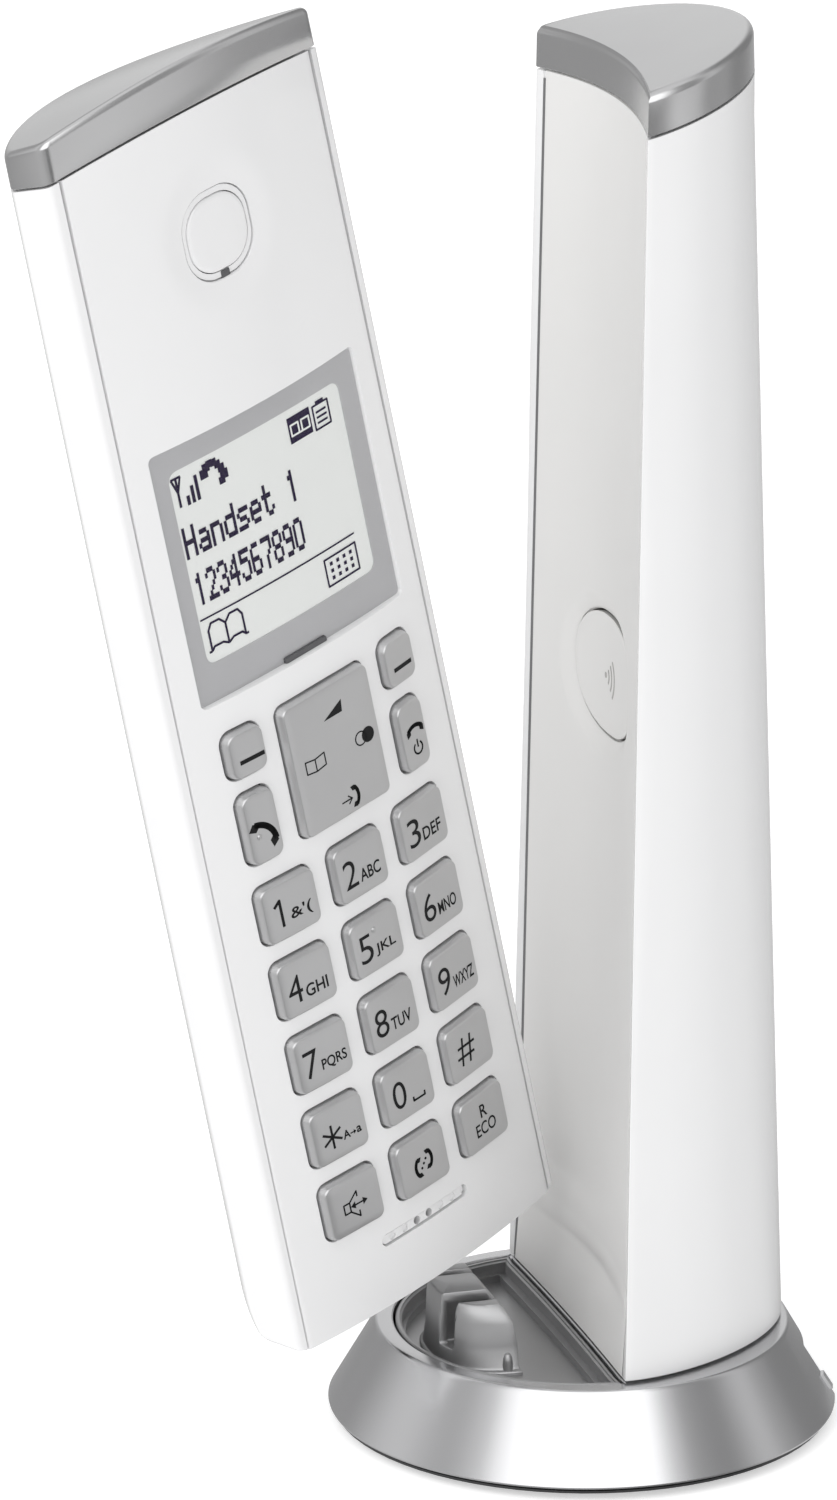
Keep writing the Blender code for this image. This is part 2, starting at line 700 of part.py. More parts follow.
# battery cover
cut(rear, box("bay_opening", (-BAY_W / 2, 12, BAY_BOT), (BAY_W / 2, 32, BAY_TOP), pose=POSE, group=cutters))
ledge = slab(
    [BAY_BOT - 7.0, BAY_BOT + 1.5],
    lambda z: BAY_W / 2 + 1.6,
    lambda x, z: hs_back_y(x, z) - 3.4,
    lambda x, z: hs_back_y(x, z) - 0.9,
    n=10,
)
cut(rear, wrap("bay_ledge", ledge, strip=True, pose=POSE, group=cutters), "UNION")
run = slab(
    [BAY_BOT - BAY_RUN - 0.4, BAY_BOT + 3.0],
    lambda z: BAY_W / 2,
    lambda x, z: hs_back_y(x, z) - 1.85,
    lambda x, z: hs_back_y(x, z) + 4.0,
    n=10,
)
cut(rear, wrap("bay_run", run, strip=True, pose=POSE, group=cutters))
lid = slab(
    [BAY_BOT + 0.3, -121.0, BAY_TOP - 0.3],
    lambda z: BAY_W / 2 - 0.3,
    lambda x, z: hs_back_y(x, z) - 1.5,
    lambda x, z: hs_back_y(x, z),
    n=10,
)
wrap("battery_cover", lid, strip=True, pose=POSE, look=WHITE)

# dock socket in the foot
cut(rear, box("foot_opening", (-10.9, 8.1, -HS_LEN - 5), (10.9, 17.4, -HS_LEN + 6), pose=POSE, group=cutters))
sock = box("hs_dock_socket", (-11.9, 7.1, -HS_LEN + 2.3), (11.9, 18.3, -HS_LEN + 12.0), pose=POSE, look=BLACK)
cut(sock, box("dock_pocket", (-10.9, 8.1, -HS_LEN - 5), (10.9, 17.4, -HS_LEN + 10.8), pose=POSE, group=cutters))
for tag, x in (("left", -5.05), ("right", 5.05)):
    box("hs_charge_pad_" + tag, (x - 1.2, 11.0, -HS_LEN + 10.0), (x + 1.2, 14.4, -HS_LEN + 10.5),
        pose=POSE, look=GOLD)
for tag, x in (("left", -15.5), ("right", 15.5)):
    disc("hs_screw_" + tag, (x, 0, -86), (0, 1, 0), [(0.9, 5.0), (0.9, 11.0), (1.7, 11.0), (1.7, 12.2)], 14,
         pose=POSE, look=STEEL)
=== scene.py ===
"""Looks for a cordless phone held off its round base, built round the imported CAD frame."""
import math

import bmesh
import bpy
from mathutils import Euler, Matrix, Vector


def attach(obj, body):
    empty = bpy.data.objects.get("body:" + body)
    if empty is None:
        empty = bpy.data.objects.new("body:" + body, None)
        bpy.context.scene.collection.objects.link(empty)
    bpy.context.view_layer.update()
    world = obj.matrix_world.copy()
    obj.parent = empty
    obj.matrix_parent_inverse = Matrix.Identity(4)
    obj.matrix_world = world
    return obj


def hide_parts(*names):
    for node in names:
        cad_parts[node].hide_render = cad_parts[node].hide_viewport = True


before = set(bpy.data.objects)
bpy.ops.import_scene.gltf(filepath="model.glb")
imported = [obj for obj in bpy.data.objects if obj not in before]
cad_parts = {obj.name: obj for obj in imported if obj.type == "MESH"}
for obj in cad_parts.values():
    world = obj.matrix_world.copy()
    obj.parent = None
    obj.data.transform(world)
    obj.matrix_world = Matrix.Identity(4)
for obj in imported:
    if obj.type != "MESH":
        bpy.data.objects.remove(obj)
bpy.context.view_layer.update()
MM = 0.001
C = bpy.context

# ---------------------------------------------------------------- sizes, in millimetres

# base: heights above the floor, and radii about Z
RING_R = 35.0
RIM_R = 28.34
RIM_Z = 13.25
RING_FOOT_Z = 1.45
RECESS_R = 26.0
TRAY_FLOOR_Z = 10.1
TRAY_STEP_Z = 11.2

# tower: a pair is the size at the rim and the size at the top
TOWER_Z0 = 13.6
TOWER_Z1 = 189.3
CHORD = (52.9, 47.9)
FRONT_Y = (-2.3, 0.24)
DEPTH = (30.3, 21.0)
SQUARE = (0.67, 0.85)
HOLLOW = (3.3, 3.1)
HEEL_Z = 22.5
TOWER_CAP_H = 5.8
TOWER_SLOPE = 0.25
TOWER_SEAM_Z = TOWER_Z1 - TOWER_CAP_H
TOWER_WALL = 1.9
PANEL_T = 2.2
FACET_Z = (57, 141)
FACET_W = 3.1
CREASE_Z = (22.3, 25.8)
CREASE_RISE = 0.16
RIB_IN = 1.8
SEAM_GAP = {1: 0.22, -1: 0.6}  # between the face and the rib at +X and at -X

# page button and its dish: half axes and middle of their ovals, and distances behind the hollow face
OVAL_POWER = 2.25
PAGE_A = 12.0
PAGE_B = 8.2
PAGE_Z = 104.9
DISH_A = 15.0
DISH_B = 11.0
DISH_DEEP = 1.4
PAGE_FRONT = 0.8
PAGE_BACK = 3.55
SKIRT_IN = 0.35
MARK_X = -0.6

# handset: X across, Y from front to back, Z = 0 at the top; a pair is the size at the top and at the foot
HS_LEN = 176.5
HS_W = (48.0, 50.4)
HS_T = (21.1, 25.0)
HS_SIDE = (6.9, 8.2)
HS_SQUARE = 0.24
HS_BULGE = 2.5
HS_WALL = 1.6
HS_FOOT_R = 7.0
HS_CAP_H = 5.7
COVER_T = 1.7
SEAM_IN = (1.9, 1.6)
CAP_ARCH = 1.7
SEAM_ARCH = 1.2
CAP_SLOPE = 0.32
SEAM_SLOPE = 0.23
WIN_W = 37.2
WIN_TOP = -45.9
WIN_BOT = -81.9
SCREEN = (-15.9, 15.1, -76.7, -49.3)
EAR_X = -0.35
EAR_Z = -21.6
EAR_WELL = (11.9, 12.2, 4.9)
EAR_DISC = (10.2, 10.0, 4.2)
EAR_DISH_R = 10.5
EAR_DISH_EDGE = 5.5
EAR_DISH_DEEP = 0.42
MIC_X = -0.6
MIC_Z = -167.1
MIC_HALF_W = 8.2
MIC_HALF_H = 0.88
MIC_HOLES = (-2.07, 0.23)
MIC_DIMPLES = 7
KEY_RISE = 1.1
KEY_SEAT = 2.05
NAVIGATOR_SEAT = 2.75
KEY_PITCH_X = 12.6
KEY_PITCH_Z = 11.32
KEY_TOP_Z = -113.4
KEY_W = 9.3
KEY_H = 8.3
BAY_W = 25.0
BAY_TOP = -92.0
BAY_BOT = -150.0
BAY_RUN = 4.0
LID_GAP = 0.3

# the handset floats beside the base: turned about Z, tilted sideways, and leaning very slightly
HS_AT = (20.0, -61.5, 194.9)
turn = Euler((0, 0, math.radians(117.9))).to_matrix() @ Euler((0, math.radians(-13.84), 0)).to_matrix()
turn = turn @ Euler((math.radians(-0.93), 0, 0)).to_matrix()
POSE = Matrix.Translation(Vector(HS_AT) * MM) @ turn.to_4x4()

# ---------------------------------------------------------------- materials

MATERIALS = {}


def feed(tree, inputs, values):
    """Gives each input its number or colour, or links it to another node's output."""
    for key, value in values.items():
        if isinstance(value, bpy.types.NodeSocket):
            tree.links.new(value, inputs[key])
        else:
            inputs[key].default_value = value


def node(tree, kind, inputs=None, **settings):
    """New shader node: inputs go by name or number, and settings are its own properties."""
    n = tree.nodes.new("ShaderNode" + kind)
    for key, value in settings.items():
        setattr(n, key, value)
    feed(tree, n.inputs, inputs or {})
    return n


def shade(name, colour, rough, metallic=0.0, mottle=0.015, mottle_scale=60.0, grain_scale=2500.0,
          grain=0.02, rough_spread=0.05, brushed=None, sockets=None):
    """Moulded or painted surface: slow mottling of colour and gloss, and a fine grain in the surface."""
    mat = bpy.data.materials.new(name)
    mat.use_nodes = True
    tree = mat.node_tree
    shader = tree.nodes["Principled BSDF"]
    vector = node(tree, "TexCoord").outputs["Object"]
    slow = node(tree, "TexNoise", {"Vector": vector, "Scale": mottle_scale, "Detail": 3.0})
    ramp = node(tree, "ValToRGB", {"Fac": slow.outputs["Fac"]})
    low = [max(c * (1 - mottle), 0.0) for c in colour]
    high = [min(c * (1 + mottle), 1.0) for c in colour]
    ramp.color_ramp.elements[0].position = 0.3
    ramp.color_ramp.elements[1].position = 0.7
    ramp.color_ramp.elements[0].color = (*low, 1.0)
    ramp.color_ramp.elements[1].color = (*high, 1.0)
    if brushed:
        vector = node(tree, "Mapping", {"Vector": vector, "Scale": brushed}).outputs["Vector"]
    fine = node(tree, "TexNoise", {"Vector": vector, "Scale": grain_scale, "Detail": 2.0}).outputs["Fac"]
    least, most = max(rough - rough_spread, 0.02), rough + rough_spread
    span = node(tree, "MapRange", {"Value": fine, "To Min": least, "To Max": most})
    bump = node(tree, "Bump", {"Height": fine, "Strength": grain, "Distance": 0.00008})
    feed(tree, shader.inputs, {"Base Color": ramp.outputs["Color"], "Roughness": span.outputs["Result"],
                               "Normal": bump.outputs["Normal"], "Metallic": metallic, **(sockets or {})})
    MATERIALS[name] = mat
    return mat


shade("white_gloss", (0.84, 0.84, 0.845), 0.2, mottle=0.006, grain=0.01, rough_spread=0.03,
      sockets={"Coat Weight": 0.25, "Coat Roughness": 0.08, "IOR": 1.5})
shade("warm_white", (0.78, 0.775, 0.765), 0.34, mottle=0.008, grain=0.03)
shade("satin_silver", (0.6, 0.6, 0.605), 0.22, 0.95, mottle=0.02, grain_scale=5200.0, grain=0.04)
shade("ring_silver", (0.6, 0.6, 0.61), 0.2, 0.97, mottle=0.015, grain_scale=5200.0, grain=0.02,
      rough_spread=0.03)
shade("cradle_silver", (0.4, 0.4, 0.405), 0.36, 0.85, mottle=0.012, grain_scale=5200.0, grain=0.02)
shade("key_silver", (0.56, 0.56, 0.565), 0.34, 0.8, mottle=0.02, grain_scale=5200.0, grain=0.05)
shade("rubber_black", (0.03, 0.03, 0.032), 0.75, mottle=0.15, grain=0.25, grain_scale=1500.0)
shade("black_plastic", (0.035, 0.035, 0.037), 0.42, mottle=0.1, grain=0.12, grain_scale=1800.0)
shade("steel", (0.52, 0.52, 0.53), 0.28, 1.0, mottle=0.04, grain_scale=900.0, brushed=(1, 1, 12), grain=0.1)
shade("contact_gold", (0.83, 0.62, 0.3), 0.22, 1.0, mottle=0.05, grain=0.06)
shade("board_green", (0.03, 0.16, 0.07), 0.4, mottle=0.25, mottle_scale=500.0, grain=0.2)
shade("cell_wrap", (0.08, 0.28, 0.16), 0.35, mottle=0.08, grain=0.04)
shade("ink", (0.012, 0.012, 0.013), 0.5, mottle=0.2, grain=0.05, sockets={"Specular IOR Level": 0.15})
shade("lcd_ink", (0.022, 0.012, 0.05), 0.6, mottle=0.15, grain=0.03, sockets={"Specular IOR Level": 0.05})
shade("bezel_grey", (0.6, 0.6, 0.615), 0.3, 0.25, mottle=0.03, mottle_scale=30.0, grain=0.02)
shade("pylon_silver", (0.4, 0.4, 0.405), 0.38, 0.8, mottle=0.01, grain_scale=5200.0, grain=0.015,
      rough_spread=0.02)
shade("mark_grey", (0.42, 0.41, 0.4), 0.4, mottle=0.05, grain=0.03)
# dark grey for the strips in the tower's seams: painted shadow
shade("seam_shadow_grey", (0.16, 0.16, 0.165), 0.6, mottle=0.1)
# darker grey for the page button's side wall: painted shade
shade("skirt_shade_grey", (0.4, 0.395, 0.385), 0.42, mottle=0.03, grain=0.03)
shade("slot_grey", (0.1, 0.1, 0.105), 0.6, mottle=0.2)
shade("clear_pane", (0.12, 0.12, 0.125), 0.06, mottle=0.004, grain=0.0, rough_spread=0.02,
      sockets={"Alpha": 0.08, "IOR": 1.45})


def lcd_panel():
    """Pale display face with the faint lattice of its dots, and a faint glow of its own that is painted light.
    """
    mat = shade("lcd_face", (0.8, 0.815, 0.8), 0.35, mottle=0.01, grain=0.01)
    tree = mat.node_tree
    shader = tree.nodes["Principled BSDF"]
    place = node(tree, "TexCoord").outputs["Object"]
    dots = node(tree, "TexVoronoi", {"Vector": place, "Scale": 3400.0}).outputs["Distance"]
    span = node(tree, "MapRange", {"Value": dots, "To Min": 0.97, "To Max": 1.0}).outputs["Result"]
    plain = shader.inputs["Base Color"].links[0].from_socket
    mix = node(tree, "Mix", data_type="RGBA", blend_type="MULTIPLY")
    feed(tree, mix.inputs, {0: 1.0, 6: plain, 7: span})
    # the emission is painted light: the display glows faintly though it is no lamp
    feed(tree, shader.inputs, {"Base Color": mix.outputs[2], "Emission Color": (0.95, 0.97, 0.95, 1.0),
                               "Emission Strength": 0.2})


lcd_panel()

# ---------------------------------------------------------------- building


def lerp(pair, t):
    return pair[0] + (pair[1] - pair[0]) * t


def steps(a, b, n):
    return [a + (b - a) * i / n for i in range(n + 1)]


def smooth(t):
    t = min(max(t, 0.0), 1.0)
    return t * t * (3 - 2 * t)


def in_scene(name, data):
    """New object in the scene for a mesh, light or camera."""
    obj = bpy.data.objects.new(name, data)
    C.scene.collection.objects.link(obj)
    return obj


def add(name, verts, faces, pose=None, angle=32):
    """Smoothed mesh object from points in millimetres. Edges over the angle stay sharp."""
    mesh = bpy.data.meshes.new(name)
    mesh.from_pydata([Vector(v) * MM for v in verts], [], faces)
    mesh.validate()
    bm = bmesh.new()
    bm.from_mesh(mesh)
    bmesh.ops.remove_doubles(bm, verts=bm.verts, dist=1e-8)
    bmesh.ops.recalc_face_normals(bm, faces=bm.faces)
    bm.to_mesh(mesh)
    bm.free()
    if pose is not None:
        mesh.transform(pose)
    mesh.shade_smooth()
    mesh.set_sharp_from_angle(angle=math.radians(angle))
    obj = in_scene(name, mesh)
    obj["sharp"] = angle
    return obj


def ring_faces(rings, ends):
    """Quads from ring to ring. The ends are a fan, a strip or a flat face, or the rings close in a loop."""
    count = len(rings[0])
    verts = [p for ring in rings for p in ring]
    faces = []
    for k in range(len(rings) if ends == "loop" else len(rings) - 1):
        low, high = k * count, (k + 1) % len(rings) * count
        for i in range(count):
            j = (i + 1) % count
            faces.append((low + i, low + j, high + j, high + i))
    last = (len(rings) - 1) * count
    if ends == "strip":
        for i in range(count // 2 - 1):
            a, b, c, d = i, i + 1, count - 2 - i, count - 1 - i
            faces.append((d, c, b, a))
            faces.append((last + a, last + b, last + c, last + d))
    elif ends == "fan":
        for start, ring in ((0, rings[0]), (last, rings[-1])):
            middle = [sum(p[k] for p in ring) / count for k in range(3)]
            verts.append(tuple(middle))
            for i in range(count):
                faces.append((start + i, start + (i + 1) % count, len(verts) - 1))
    elif ends == "flat":
        faces.append(tuple(reversed(range(count))))
        faces.append(tuple(last + i for i in range(count)))
    return verts, faces


def loft(name, rings, ends="fan", **kw):
    verts, faces = ring_faces(rings, ends)
    return add(name, verts, faces, **kw)


def lathe(name, profile, seg=160, **kw):
    """Closed profile of (r, z) turned about Z."""
    around = [2 * math.pi * i / seg for i in range(seg)]
    rings = [[(r * math.cos(a), r * math.sin(a), z) for a in around] for r, z in profile]
    return loft(name, rings, "loop", **kw)


def stack(name, centre, axis, profile, seg=40, pose=None, **kw):
    """Circles about an axis through centre: profile is [(radius, distance), ...]."""
    spin = Vector((0, 0, 1)).rotation_difference(Vector(axis)).to_matrix()
    around = [2 * math.pi * i / seg for i in range(seg)]
    rings = []
    for r, d in profile:
        circle = [spin @ Vector((r * math.cos(a), r * math.sin(a), d)) for a in around]
        rings.append([tuple(p + Vector(centre)) for p in circle])
    return loft(name, rings, pose=pose, **kw)


def rounded(w, h, r, n=8):
    """Points of a w by h rectangle about the middle, with its corners rounded by r."""
    pts = []
    for cx, cz, start in ((1, 1, 0), (-1, 1, 90), (-1, -1, 180), (1, -1, 270)):
        for i in range(n):
            a = math.radians(start + 90 * i / (n - 1))
            pts.append((cx * (w / 2 - r) + r * math.cos(a), cz * (h / 2 - r) + r * math.sin(a)))
    return pts


def oval(a, b, n):
    """Points of a slightly squared oval with the half axes a and b."""
    pts = []
    for i in range(n):
        t = 2 * math.pi * (i + 0.5) / n
        x = a * math.copysign(abs(math.cos(t)) ** (2 / OVAL_POWER), math.cos(t))
        z = b * math.copysign(abs(math.sin(t)) ** (2 / OVAL_POWER), math.sin(t))
        pts.append((x, z))
    return pts


def block(name, lo, hi, edge=0.2, pose=None, **kw):
    """Box with its upright and top edges rounded."""
    w, d = hi[0] - lo[0], hi[1] - lo[1]
    cx, cy = (lo[0] + hi[0]) / 2, (lo[1] + hi[1]) / 2
    rings = []
    for inset, z in ((edge, lo[2]), (0, lo[2] + edge), (0, hi[2] - edge), (edge * 0.3, hi[2] - edge * 0.3),
                     (edge, hi[2])):
        outline = rounded(w - 2 * inset, d - 2 * inset, max(edge, 0.05), 5)
        rings.append([(cx + x, cy + y, z) for x, y in outline])
    return loft(name, rings, pose=pose, **kw)


def carve(target, tools, operation="DIFFERENCE", bevel=0.0):
    """Boolean with each tool in turn, then an optional small edge round. The tools are used up."""
    for tool in tools:
        mod = target.modifiers.new("cut", "BOOLEAN")
        mod.operation = operation
        mod.solver = "EXACT"
        mod.object = tool
    if bevel:
        mod = target.modifiers.new("edge", "BEVEL")
        mod.width = bevel * MM
        mod.segments = 2
        mod.limit_method = "ANGLE"
        mod.angle_limit = math.radians(50)
        mod.use_clamp_overlap = False
    settle(target)
    for tool in tools:
        bpy.data.objects.remove(tool)


def settle(obj):
    """Applies the modifiers and smooths the result."""
    graph = C.evaluated_depsgraph_get()
    mesh = bpy.data.meshes.new_from_object(obj.evaluated_get(graph))
    obj.modifiers.clear()
    obj.data = mesh
    bm = bmesh.new()
    bm.from_mesh(mesh)
    bmesh.ops.remove_doubles(bm, verts=bm.verts, dist=2e-7)
    bm.to_mesh(mesh)
    bm.free()
    mesh.shade_smooth()
    mesh.set_sharp_from_angle(angle=math.radians(obj["sharp"]))


def dress(obj, body, look, stands_for=()):
    """Gives a finished piece its material, its body and the CAD nodes that it stands for."""
    obj.data.materials.clear()
    obj.data.materials.append(MATERIALS[look])
    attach(obj, body)
    if stands_for:
        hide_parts(*stands_for)


# ---------------------------------------------------------------- tower and handset sections


def tower_at(z):
    """Chord, front line, depth, squareness and hollow of the tower's section at a height."""
    t = (z - RIM_Z) / (TOWER_Z1 - RIM_Z)
    heel = min(max((z - RIM_Z) / (HEEL_Z - RIM_Z), 0.0), 1.0)
    hollow = lerp(HOLLOW, t) * (0.1 + 0.9 * heel)
    return lerp(CHORD, t), lerp(FRONT_Y, t), lerp(DEPTH, t), lerp(SQUARE, t), hollow


def tower_face_y(x, z):
    chord, front, _, _, hollow = tower_at(z)
    return front + hollow * (1 - (2 * x / chord) ** 2)


def tower_back_y(u, z, inset=0.0):
    _, front, depth, square, _ = tower_at(z)
    root = math.sqrt(max(1 - u * u, 0.0))
    edge = 0.8
    return front + edge + (depth - edge - inset) * ((1 - square) * (1 - u * u) + square * root)


def facet_at(z):
    """Width of the lens-shaped facet beside each front edge."""
    if not FACET_Z[0] < z < FACET_Z[1]:
        return 0.0
    t = (z - FACET_Z[0]) / (FACET_Z[1] - FACET_Z[0])
    return FACET_W * math.sin(math.pi * t ** 1.25) ** 0.75


def tower_outline(z, n=48, inset=0.0, strip=0.0, round_by=0.35):
    """From the inside edge of the +X rib, round the back, to the -X rib."""
    chord, front, _, _, _ = tower_at(z)
    lens = facet_at(z)
    half = chord / 2 - inset
    cut = 0.35 * lens / FACET_W
    pts = []
    if strip:
        xs = half - strip
        pts.append((xs, tower_face_y(xs, z) + 2.0))
        pts.append((xs, tower_face_y(xs, z) + 0.25))
        pts.append((xs + 0.08, tower_face_y(xs + 0.08, z) + 0.06))
        pts.append((xs + 0.25, tower_face_y(xs + 0.25, z)))
    corner = half - cut
    for x in (corner - round_by, corner - 0.6 * round_by, corner - 0.25 * round_by):
        pts.append((x, tower_face_y(x, z) + 0.3 * (x - corner + round_by) ** 2))
    pts.append((corner - 0.06, tower_face_y(corner, z) + 0.12))
    pts.append((corner, tower_face_y(corner, z) + 0.35))
    for i in range(1, n + 1):
        a = 0.5 * math.pi * (i / n) ** 1.15
        u = math.cos(a)
        x = half * u
        y = tower_back_y(u, z, inset)
        far = math.hypot(half - x, y - front)
        if lens > 0.05 and far < lens:
            x -= cut * (1 - far / lens)
        pts.append((x, y))
    mirrored = [(-x, y) for x, y in reversed(pts[:-1])]
    return pts + mirrored


def heel_step(z):
    """Slight band between the two creases low on the hollow face."""
    low, high = CREASE_Z
    if not low < z < high:
        return 0.0
    return CREASE_RISE * math.sin(math.pi * (z - low) / (high - low))


def oval_reach(x, z, a, b):
    """1 on the oval with the half axes a and b round the page button, and less inside it."""
    return (abs(x / a) ** OVAL_POWER + abs((z - PAGE_Z) / b) ** OVAL_POWER) ** (1 / OVAL_POWER)


def dish_depth(x, z):
    """Full depth under the button, rising from its edge to the rim of the dish."""
    inner = oval_reach(x, z, PAGE_A, PAGE_B) - 1.0
    outer = 1.0 - oval_reach(x, z, DISH_A, DISH_B)
    if outer <= 0.0:
        return 0.0
    if inner <= 0.0:
        return DISH_DEEP
    return DISH_DEEP * (outer / (outer + inner)) ** 1.3


def hs_at(z):
    """Width, thickness, side height and seam inset of the handset's section at a height."""
    t = -z / HS_LEN
    return lerp(HS_W, t), lerp(HS_T, t), lerp(HS_SIDE, t), lerp(SEAM_IN, t)


def hs_half(z, corner=2.6):
    up = z + HS_LEN
    half = hs_at(z)[0] / 2
    if up < corner:
        half -= corner - math.sqrt(max(corner ** 2 - (corner - max(up, 0.0)) ** 2, 0.0))
    return half


def hs_plain_y(x, z):
    """Bowed front of the handset, without the dish round its earpiece."""
    return -HS_BULGE * (1 - (2 * x / hs_at(z)[0]) ** 2)


def hs_front_y(x, z):
    r = math.hypot(x - EAR_X, z - EAR_Z)
    return hs_plain_y(x, z) + EAR_DISH_DEEP * smooth((EAR_DISH_R - r) / EAR_DISH_EDGE)


def hs_foot(z):
    """Share of the foot's rounding: 0 above it, 1 at the very end."""
    up = z + HS_LEN
    if up >= HS_FOOT_R:
        return 0.0
    return 1.0 - math.sqrt(max(1 - ((HS_FOOT_R - up) / HS_FOOT_R) ** 2, 0.0))


def hs_back_y(x, z, inset=0.0):
    width, thick, side, _ = hs_at(z)
    foot = hs_foot(z)
    side -= 2.7 * foot + inset * 0.4
    thick -= 3.5 * foot + inset
    u = min(abs(2 * x / (width - 2 * inset)), 1.0)
    root = math.sqrt(max(1 - u * u, 0.0))
    return side + (thick - side) * ((1 - HS_SQUARE) * (1 - u * u) + HS_SQUARE * root)


def hs_xs(half, corner, n=30):
    """Places across the handset, close together where the front corners are rounded."""
    flat = half - corner
    edge = [flat + corner * math.sin(math.pi * i / 12) for i in range(6, 0, -1)]
    return edge + [flat * math.cos(math.pi * i / n) for i in range(n + 1)] + [-x for x in reversed(edge)]


def hs_ring(z, inset=0.0, arch=0.0, slope=0.0, corner=1.1):
    """Front line from +X to -X, then the back from -X to +X, at matching x."""
    width = hs_at(z)[0]
    half = hs_half(z, 1.2) - inset
    flat = half - corner
    start = hs_plain_y(flat, z) + inset
    ring = []
    xs = hs_xs(half, corner)
    for x in xs:
        over = abs(x) - flat
        if over > 1e-6:
            y = start + corner - math.sqrt(max(corner ** 2 - over ** 2, 0.0))
        else:
            y = hs_plain_y(x, z) + inset
        ring.append((x, y, z + arch * (1 - (x / half) ** 2) - slope * y))
    for x in reversed(xs):
        y = hs_back_y(x / half * (width / 2 - inset), z, inset)
        ring.append((x, y, z + arch * (1 - (x / half) ** 2) - slope * y))
    return ring


def hs_loft(name, rings, **kw):
    """Loft in the handset's frame, through rings that run along a front line and back along a rear one."""
    return loft(name, rings, ends="strip", pose=POSE, **kw)


def plate(name, x0, x1, z0, z1, r, front, back, n=28, **kw):
    """Plate that bends across x only, with its corners rounded by r."""
    spans = []
    for i in range(6):
        a = 0.5 * math.pi * i / 5
        spans.append((x0 + r - r * math.cos(a), r - r * math.sin(a)))
    spans += [(x, 0.0) for x in steps(x0 + r, x1 - r, n)[1:-1]]
    spans += [(x1 + x0 - x, cut) for x, cut in reversed(spans[:6])]
    rings = []
    for x, cut in spans:
        rings.append([
            (x, front(x, z1), z1 - cut),
            (x, front(x, z0), z0 + cut),
            (x, back(x, z0), z0 + cut),
            (x, back(x, z1), z1 - cut),
        ])
    return loft(name, rings, ends="flat", **kw)


def bar(points, width):
    """Stroke through points in a plane: one four-sided piece per run, with round joins."""
    polys = []
    runs = []
    for (xa, za), (xb, zb) in zip(points, points[1:]):
        count = max(int(math.hypot(xb - xa, zb - za) / 3.0), 1)
        stops = [(xa + (xb - xa) * i / count, za + (zb - za) * i / count) for i in range(count + 1)]
        runs += list(zip(stops, stops[1:]))
    for (xa, za), (xb, zb) in runs:
        run = math.hypot(xb - xa, zb - za)
        dx, dz = (xb - xa) / run * width / 2, (zb - za) / run * width / 2
        polys.append([(xa - dz, za + dx), (xb - dz, zb + dx), (xb + dz, zb - dx), (xa + dz, za - dx)])
    for x, z in points[1:-1]:
        polys.append(blob(x, z, width / 2, 10))
    return polys


def blob(cx, cz, r, n=24):
    return [(cx + r * math.cos(2 * math.pi * i / n), cz + r * math.sin(2 * math.pi * i / n)) for i in range(n)]


def arc(cx, cz, r, start, end, n=14):
    angles = [math.radians(a) for a in steps(start, end, n)]
    return [(cx + r * math.cos(a), cz + r * math.sin(a)) for a in angles]


def loop(points, width):
    return bar(points + points[:2], width)


def rect(x0, x1, z0, z1):
    return [(x0, z0), (x1, z0), (x1, z1), (x0, z1)]


def letters(words, x0, x1, z0, z1, weight=0.0):
    """Outlines of a short legend, fitted to a box, as small faces. weight thickens the strokes."""
    curve = bpy.data.curves.new("words", "FONT")
    curve.body = words
    curve.resolution_u = 5
    curve.offset = weight
    holder = bpy.data.objects.new("words", curve)
    C.scene.collection.objects.link(holder)
    C.view_layer.update()
    mesh = bpy.data.meshes.new_from_object(holder.evaluated_get(C.evaluated_depsgraph_get()))
    bpy.data.objects.remove(holder)
    bpy.data.curves.remove(curve)
    us = [v.co.x for v in mesh.vertices]
    vs = [v.co.y for v in mesh.vertices]
    low, high, foot, head = min(us), max(us), min(vs), max(vs)
    polys = []
    for face in mesh.polygons:
        poly = []
        for index in face.vertices:
            p = mesh.vertices[index].co
            x = x0 + (x1 - x0) * (p.x - low) / (high - low)
            z = z0 + (z1 - z0) * (p.y - foot) / (head - foot)
            poly.append((x, z))
        polys.append(poly)
    bpy.data.meshes.remove(mesh)
    return polys


def print_on(name, polys, surface, raised, body, look="ink", pose=POSE, thick=0.05):
    """Thin legend that stands raised off a surface y = surface(x, z)."""
    bm = bmesh.new()
    for poly in polys:
        verts = [bm.verts.new(Vector((x, surface(x, z) - raised, z)) * MM) for x, z in poly]
        bm.faces.new(verts)
    bmesh.ops.remove_doubles(bm, verts=bm.verts, dist=1e-8)
    grown = bmesh.ops.extrude_face_region(bm, geom=list(bm.faces))
    moved = [g for g in grown["geom"] if isinstance(g, bmesh.types.BMVert)]
    bmesh.ops.translate(bm, verts=moved, vec=Vector((0, thick, 0)) * MM)
    bmesh.ops.recalc_face_normals(bm, faces=bm.faces)
    mesh = bpy.data.meshes.new(name)
    bm.to_mesh(mesh)
    bm.free()
    if pose is not None:
        mesh.transform(pose)
    dress(in_scene(name, mesh), body, look)


def merged(name, objs):
    """Joins cutters that don't touch each other into one."""
    bm = bmesh.new()
    for obj in objs:
        bm.from_mesh(obj.data)
        bpy.data.objects.remove(obj)
    mesh = bpy.data.meshes.new(name)
    bm.to_mesh(mesh)
    bm.free()
    return in_scene(name, mesh)


# ---------------------------------------------------------------- plinth


def recess_outline(inset, face_inset=None, n=72):
    """Crescent in front of the tower: an arc, closed along the hollow face."""
    face_inset = inset if face_inset is None else face_inset
    r = RECESS_R - inset
    y_end = FRONT_Y[0] - face_inset
    start = math.atan2(y_end, math.sqrt(r * r - y_end * y_end))
    pts = []
    for i in range(n + 1):
        a = start - (math.pi + 2 * start) * i / n
        pts.append((r * math.cos(a), r * math.sin(a)))
    x_end = pts[-1][0]
    for i in range(1, 24):
        x = x_end * (1 - 2 * i / 24)
        pts.append((x, tower_face_y(x, TOWER_Z0) - face_inset - 0.25))
    return pts


